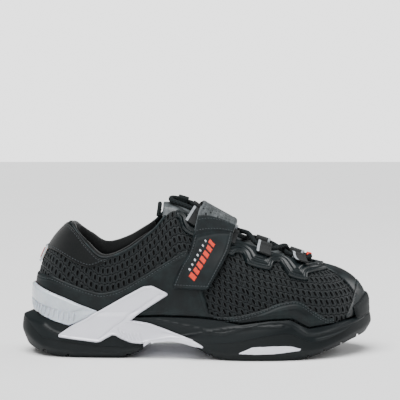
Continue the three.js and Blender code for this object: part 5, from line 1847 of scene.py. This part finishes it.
CROSS_LOW = CAD_LACE_RADIUS + CROWN_LOW - TONGUE_SINK + 3 * GAP
CROSS_HIGH = CROSS_LOW + 2 * CAD_LACE_RADIUS + 2 * GAP


def lace_route():
    """Through every loop along the throat, crossing over the tongue, with both ends under the strap."""
    def through(side, number, forward):
        _, centre, along, _, _ = loop_frame(side, number)
        reach = (LOOP_WIDTH / 2 + 1.6) * (1 if forward else -1)
        return [centre - along * reach, centre, centre + along * reach]

    def crossing(number, height):
        k = (LOOP_STATIONS[number] + LOOP_STATIONS[number + 1]) / 2
        return throat(k)[0](0, height + tongue_top(k) - (CROWN_LOW - TONGUE_SINK))

    def end(y):
        lift = CAD_LACE_RADIUS + 4 * GAP + 1.2
        return [throat(k)[0](y, tongue_top(k) + lift) for k in (6.5, 6.35, 6.15, 5.93)]
    offset = CAD_LACE_RADIUS + 2 * GAP
    bar = throat(9.95)[0]
    turn = throat(5.9)[0]
    return [
        *end(-offset), turn(-10, 6.5), *through(-1, 0, True), crossing(0, CROSS_HIGH), *through(1, 1, True),
        crossing(1, CROSS_HIGH), *through(-1, 2, True), crossing(2, CROSS_HIGH), *through(1, 3, True),
        bar(8, 6), bar(-8, 6), *through(-1, 3, False), crossing(2, CROSS_LOW), *through(1, 2, False),
        crossing(1, CROSS_LOW), *through(-1, 1, False), crossing(0, CROSS_LOW), *through(1, 0, False),
        turn(10, 6.5), *reversed(end(offset)),
    ]


class SHOE_OT_lace(bpy.types.Operator):
    """Braided lace"""
    bl_idname = "shoe.lace"
    bl_label = "Lace"

    def execute(self, context):
        route = smooth_path(lace_route(), 1.1)
        shape, chart = sweep(route, circle(LACE_RADIUS, 14))
        piece("braided_lace", shape, "cord", "shoe", ["lace"], 70, chart)
        at, _, up, _ = throat(TONGUE_BASE)
        route = np.array([at(y, 7.2 + 1.2 * math.cos(y * 0.5), 0.2) for y in np.linspace(-4.5, 0.5, 8)])
        shape, chart = sweep(route, rounded_bar(4.4, 0.9), np.tile(up, (8, 1)))
        piece("lace_bar_label", shape, "print", "shoe", (), 50, chart)
        return {"FINISHED"}


# ---- strap ---------------------------------------------------------------------------------------

STRAP_REST, STRAP_REAR, STRAP_FRONT = 3.1, 6.55, 7.5
# The strap's rough length and width in millimetres, which turn its coordinates into distances.
STRAP_SCALE = np.array([150.0, 34.0])
STRAP_ARCH = [(-27, 6), (-21, 11), (-12, 12.6), (0, 13), (12, 12.6), (21, 11), (27.5, 6)]
STRAP_LATERAL = [[(-21, 59), (9.5, 57.5)], [(-13.5, 76), (19, 74.5)], [(-6, 90), (26, 88)]]
STRAP_MEDIAL = [[(-4, 92), (28, 89)], [(-6, 85.5), (26, 82.5)], [(-7.5, 79), (24.5, 76)]]
# How far along the strap the badge flap and the fold above it end, at the strap's front and rear edges.
PATCH_FRONT, PATCH_REAR, FOLD_FRONT, FOLD_REAR = 0.243, 0.205, 0.3, 0.238


def strap_edges():
    """The strap's rear and front edges, up one side of the shoe, over the lacing and down the other."""
    def walls(side, rows):
        ends = drape(side, [point for row in rows for point in row], STRAP_REST)
        return ends.reshape(-1, 2, 3)
    arch = np.array([[throat(k)[0](y * GRADE[1], h) for k in (STRAP_REAR, STRAP_FRONT)]
                     for y, h in STRAP_ARCH])
    rows = np.concatenate([walls(-1, STRAP_LATERAL), arch, walls(1, STRAP_MEDIAL)])
    return flowing(rows[:, 0], steps=12), flowing(rows[:, 1], steps=12)


STRAP_REAR_EDGE, STRAP_FRONT_EDGE = strap_edges()


def strap_surface(s, w):
    """Underside of the strap: s from its loose end to its hinge, w from its front edge to its rear."""
    s, w = np.broadcast_arrays(np.asarray(s, float), np.asarray(w, float))
    place = np.arange(len(STRAP_REAR_EDGE)) / (len(STRAP_REAR_EDGE) - 1)
    rear, front = (np.stack([np.interp(s, place, edge[:, i]) for i in range(3)], -1)
                   for edge in (STRAP_REAR_EDGE, STRAP_FRONT_EDGE))
    return front + (rear - front) * w[..., None]


def strap_outline(points):
    """Side-view points as strap coordinates, on its lateral wall."""
    s, w = np.meshgrid(np.linspace(0, 0.4, 260), np.linspace(0, 1, 120), indexing="ij")
    grid = strap_surface(s, w)[..., [0, 2]].reshape(-1, 2)
    target = np.asarray(points, float) * GRADE[[0, 2]]
    at = ((target[:, None] - grid[None]) ** 2).sum(-1).argmin(1)
    return np.stack([s.ravel()[at], w.ravel()[at]], 1)


def strap_field(*outlines):
    """Union of closed outlines in strap coordinates, as a distance in millimetres."""
    def field(s, w, points):
        flat = np.stack([s.ravel(), w.ravel()], 1) * STRAP_SCALE
        best = np.max([distance_to(np.asarray(line) * STRAP_SCALE, flat) for line in outlines], 0)
        return best.reshape(s.shape)
    return field


def strap_panel(points, corner=0.22):
    """An outline in strap coordinates with its corners rounded off."""
    return rounded(np.array(points) * STRAP_SCALE, corner=corner) / STRAP_SCALE


def across_strap(front_end, rear_end, start, margin):
    """A four-sided outline from a start to a slanted end, with a margin along the strap's edges."""
    return [(start, margin), (front_end, margin), (rear_end, 1 - margin), (start, 1 - margin)]


def slanted_row(start, end):
    """Turns places along and across a slanted side-view line into side-view points. Also gives its length."""
    start, end = np.array(start), np.array(end)
    length = np.linalg.norm(end - start)
    along = (end - start) / length
    across = np.array([-along[1], along[0]])
    return (lambda corners: [start + along * a + across * b for a, b in corners]), length


def bar_outlines():
    """Slanted bars in a row along the flap, with a wider one at its top."""
    laid, _ = slanted_row((-4.9, 65.4), (14.4, 98.5))
    bars, at = [], 1.0
    for number, wide in enumerate((4.2, 3.7, 3.7, 3.7, 3.7, 3.5, 3.0)):
        low, high = -2.7, 2.7 + (0.8 if number in (0, 6) else 0.0)
        bars.append(laid([(at, low), (at + wide, low), (at + wide + 1.6, high), (at + 1.6, high)]))
        at += wide + 1.4
    return bars


def tick_outlines():
    """A row of small pale ticks beside the bars."""
    laid, length = slanted_row((-5.6, 73.5), (7.2, 96.0))
    return [laid([(a, 0), (a + 1.5, 0), (a + 1.9, 1.9), (a + 0.4, 1.9)]) for a in np.linspace(0, length, 7)]


class SHOE_OT_strap(bpy.types.Operator):
    """Strap over the lacing, with its perforated crown in painted sheen, brushed fold, bars and hook tape"""
    bl_idname = "shoe.strap"
    bl_label = "Strap"

    def execute(self, context):
        radius = context.scene.court_shoe.perforation / MM / 2
        holes = [(s, w) for i, s in enumerate(np.linspace(0.255, 0.675, 19))
                 for w in (np.array([0.2, 0.4, 0.6, 0.8]) + (0.1 if i % 2 else 0.0))]
        whole = strap_field(strap_panel([(0.0, 0.0), (1.0, 0.0), (1.0, 1.0), (0.0, 1.0)], 0.08))
        covered = strap_field(across_strap(PATCH_FRONT - 0.002, PATCH_REAR - 0.002, 1.1, -0.1))

        def pierced(s, w, points):
            d = np.minimum(whole(s, w, points), covered(s, w, points))
            near = np.full(s.shape, 1e3)
            for hs, hw in holes:
                near = np.minimum(near, np.hypot((s - hs) * STRAP_SCALE[0], (w - hw) * STRAP_SCALE[1]))
            return np.minimum(d, near - radius)
        fold = [(PATCH_FRONT - 0.008, 0.01), (FOLD_FRONT, 0.01), (FOLD_REAR, 0.99),
                (PATCH_REAR - 0.008, 0.99)]
        flap = strap_panel(across_strap(PATCH_FRONT, PATCH_REAR, 0.006, 0.03), 0.08)
        for name, s_range, field, face, back, step, material, nodes in (
                ("strap_band_base", (0, 1), whole, lambda d, p: 1.2 * round_edge(d, 1.0), 0.0, 1.0,
                 "strap", ["strap_band"]),
                # The perforated crown is painted sheen: its light grey finish stands in for reflected
                # overhead light.
                ("strap_crown", (PATCH_REAR - 0.006, 1), pierced,
                 lambda d, p: 1.25 + 0.75 * round_edge(d, 0.9), 1.22, 0.42, "sheen", ()),
                ("strap_fold", (PATCH_REAR - 0.01, FOLD_FRONT + 0.004), strap_field(fold),
                 lambda d, p: 2.02 + 0.5 * round_edge(d, 0.6), 2.0, 0.5, "strap", ()),
                ("strap_badge_patch", (0, PATCH_FRONT + 0.02), strap_field(flap),
                 lambda d, p: 1.25 + 0.85 * round_edge(d, 0.9) - 0.25 * bump_at(d, 2.2, 0.5), 1.2, 0.6,
                 "strap", ["strap_badge"])):
            shape = patch(strap_surface, s_range, (0, 1), field, face, back, step)
            piece(name, shape, material, "strap", nodes)
        for name, outlines, material, rise in (("strap_badge_bars", bar_outlines(), "print", 0.45),
                                               ("strap_badge_ticks", tick_outlines(), "chalk", 0.3)):
            shapes = [strap_outline(sampled(line + line[:1], 1.0)) for line in outlines]
            bars = patch(strap_surface, (0, 0.4), (0, 1), strap_field(*shapes),
                         lambda d, p: 2.1 + rise * round_edge(d, 0.35), 2.0, 0.35)
            piece(name, bars, material, "strap")
        tape = strap_field(strap_panel(across_strap(0.16, 0.16, 0.015, 0.1)))
        for name, body, outer in (("strap_hook_pad", "strap", -0.3), ("strap_loop_pad", "shoe", -1.4)):
            pad = patch(strap_surface, (0, 0.2), (0, 1), tape,
                        lambda d, p: outer - 0.1 + 0.1 * round_edge(d, 0.5), outer - 0.8, 0.9)
            piece(f"{name}_tape", pad, "hook", body, [name])
        field = side_field(rounded([(-9.5, 62), (7, 60.5), (22.5, 59.5), (24, 74.5), (8.5, 76), (-8, 77.5)],
                                   corner=0.1))
        anchor = patch(skin, between(1, 5.6, 7.9), (0.4, 1), field,
                       lambda d, p: GAP + 2.4 * round_edge(d, 1.2) - 0.3 * bump_at(d, 2.2, 0.5), GAP, 0.7)
        piece("strap_anchor_patch", anchor, "strap", "shoe", ["strap_anchor"])
        return {"FINISHED"}


# ---- stitching -----------------------------------------------------------------------------------


class SHOE_OT_stitching(bpy.types.Operator):
    """Rows of stitches along the overlays, the collar panel and the strap"""
    bl_idname = "shoe.stitching"
    bl_label = "Stitching"

    def execute(self, context):
        pitch = context.scene.court_shoe.stitch_pitch / MM
        high = GAP + OVERLAY_WALL + 0.1
        paths = []
        for side in (-1, 1):
            k = mirrored(np.linspace(6.3, 9.3, 260), side)
            paths += [seam_path(upper, k, level_on(upper, k, RAND_TOP, -below), high + 0.05)
                      for below in (1.8, 3.6)]
            k = mirrored(np.linspace(0.06, 6.0, 420), side)
            paths.append(seam_path(upper, k, level_on(upper, k, SADDLE_TOP, -2.9), high))
        k = np.linspace(CAP_START + 0.1, ROUND - CAP_START - 0.1, 160)
        paths.append(seam_path(upper, k, level_on(upper, k, CAP_EDGE, -2.2), high))
        stitches("stitches_overlays", paths, "shoe", pitch)
        k = np.linspace(-PANEL_END + 0.1, PANEL_END - 0.1, 300)
        stitches("stitches_collar_panel", [
            seam_path(upper, k, level_on(upper, k, PANEL_LOW, 2.2), high),
            seam_path(upper, k, np.full_like(k, PANEL_TOP - 0.03), high)], "shoe", pitch)
        strap_paths = []
        for w, flap_end, fold_end in ((0.07, PATCH_FRONT, FOLD_FRONT), (0.93, PATCH_REAR, FOLD_REAR)):
            for s0, s1 in ((0.02, flap_end - 0.012), (fold_end + 0.01, 0.985)):
                s = np.linspace(s0, s1, 200)
                strap_paths.append(seam_path(strap_surface, s, np.full_like(s, w), 2.12))
        w = np.linspace(0.07, 0.93, 60)
        strap_paths.append(seam_path(strap_surface, np.full_like(w, 0.02), w, 2.12))
        for s_front, s_rear in ((PATCH_FRONT, PATCH_REAR), (FOLD_FRONT - 0.012, FOLD_REAR - 0.012)):
            strap_paths.append(seam_path(strap_surface, s_front + (s_rear - s_front) * w, w, 2.6))
        stitches("stitches_strap", strap_paths, "strap", pitch * 0.9)
        return {"FINISHED"}


# ---- panel and main ------------------------------------------------------------------------------

OPERATORS = (
    SHOE_OT_stage, SHOE_OT_midsole, SHOE_OT_outsole, SHOE_OT_shank, SHOE_OT_heel_clip, SHOE_OT_toe_bumper,
    SHOE_OT_inside, SHOE_OT_mesh_upper, SHOE_OT_overlays, SHOE_OT_eyestay, SHOE_OT_collar, SHOE_OT_tongue,
    SHOE_OT_lace_loops, SHOE_OT_lace, SHOE_OT_strap, SHOE_OT_stitching,
)


class SHOE_PT_panel(bpy.types.Panel):
    """Settings and steps of the shoe"""
    bl_idname = "SHOE_PT_panel"
    bl_label = "Court shoe"
    bl_space_type = "VIEW_3D"
    bl_region_type = "UI"
    bl_category = "Shoe"

    def draw(self, context):
        settings = context.scene.court_shoe
        for name in settings.bl_rna.properties.keys():
            if name not in ("rna_type", "name"):
                self.layout.prop(settings, name)
        for operator in OPERATORS:
            self.layout.operator(operator.bl_idname)


CLASSES = (CourtShoeSettings, *OPERATORS, SHOE_PT_panel)


def register():
    for cls in CLASSES:
        bpy.utils.register_class(cls)
    bpy.types.Scene.court_shoe = bpy.props.PointerProperty(type=CourtShoeSettings)


def unregister():
    del bpy.types.Scene.court_shoe
    for cls in reversed(CLASSES):
        bpy.utils.unregister_class(cls)


def main():
    register()
    make_finishes(bpy.context.scene.court_shoe)
    TREES.update(stitch=stitch_tree(), wrap=wrap_tree())
    for operator in OPERATORS:
        getattr(bpy.ops.shoe, operator.bl_idname.split(".")[1])()


if __name__ == "__main__":
    main()
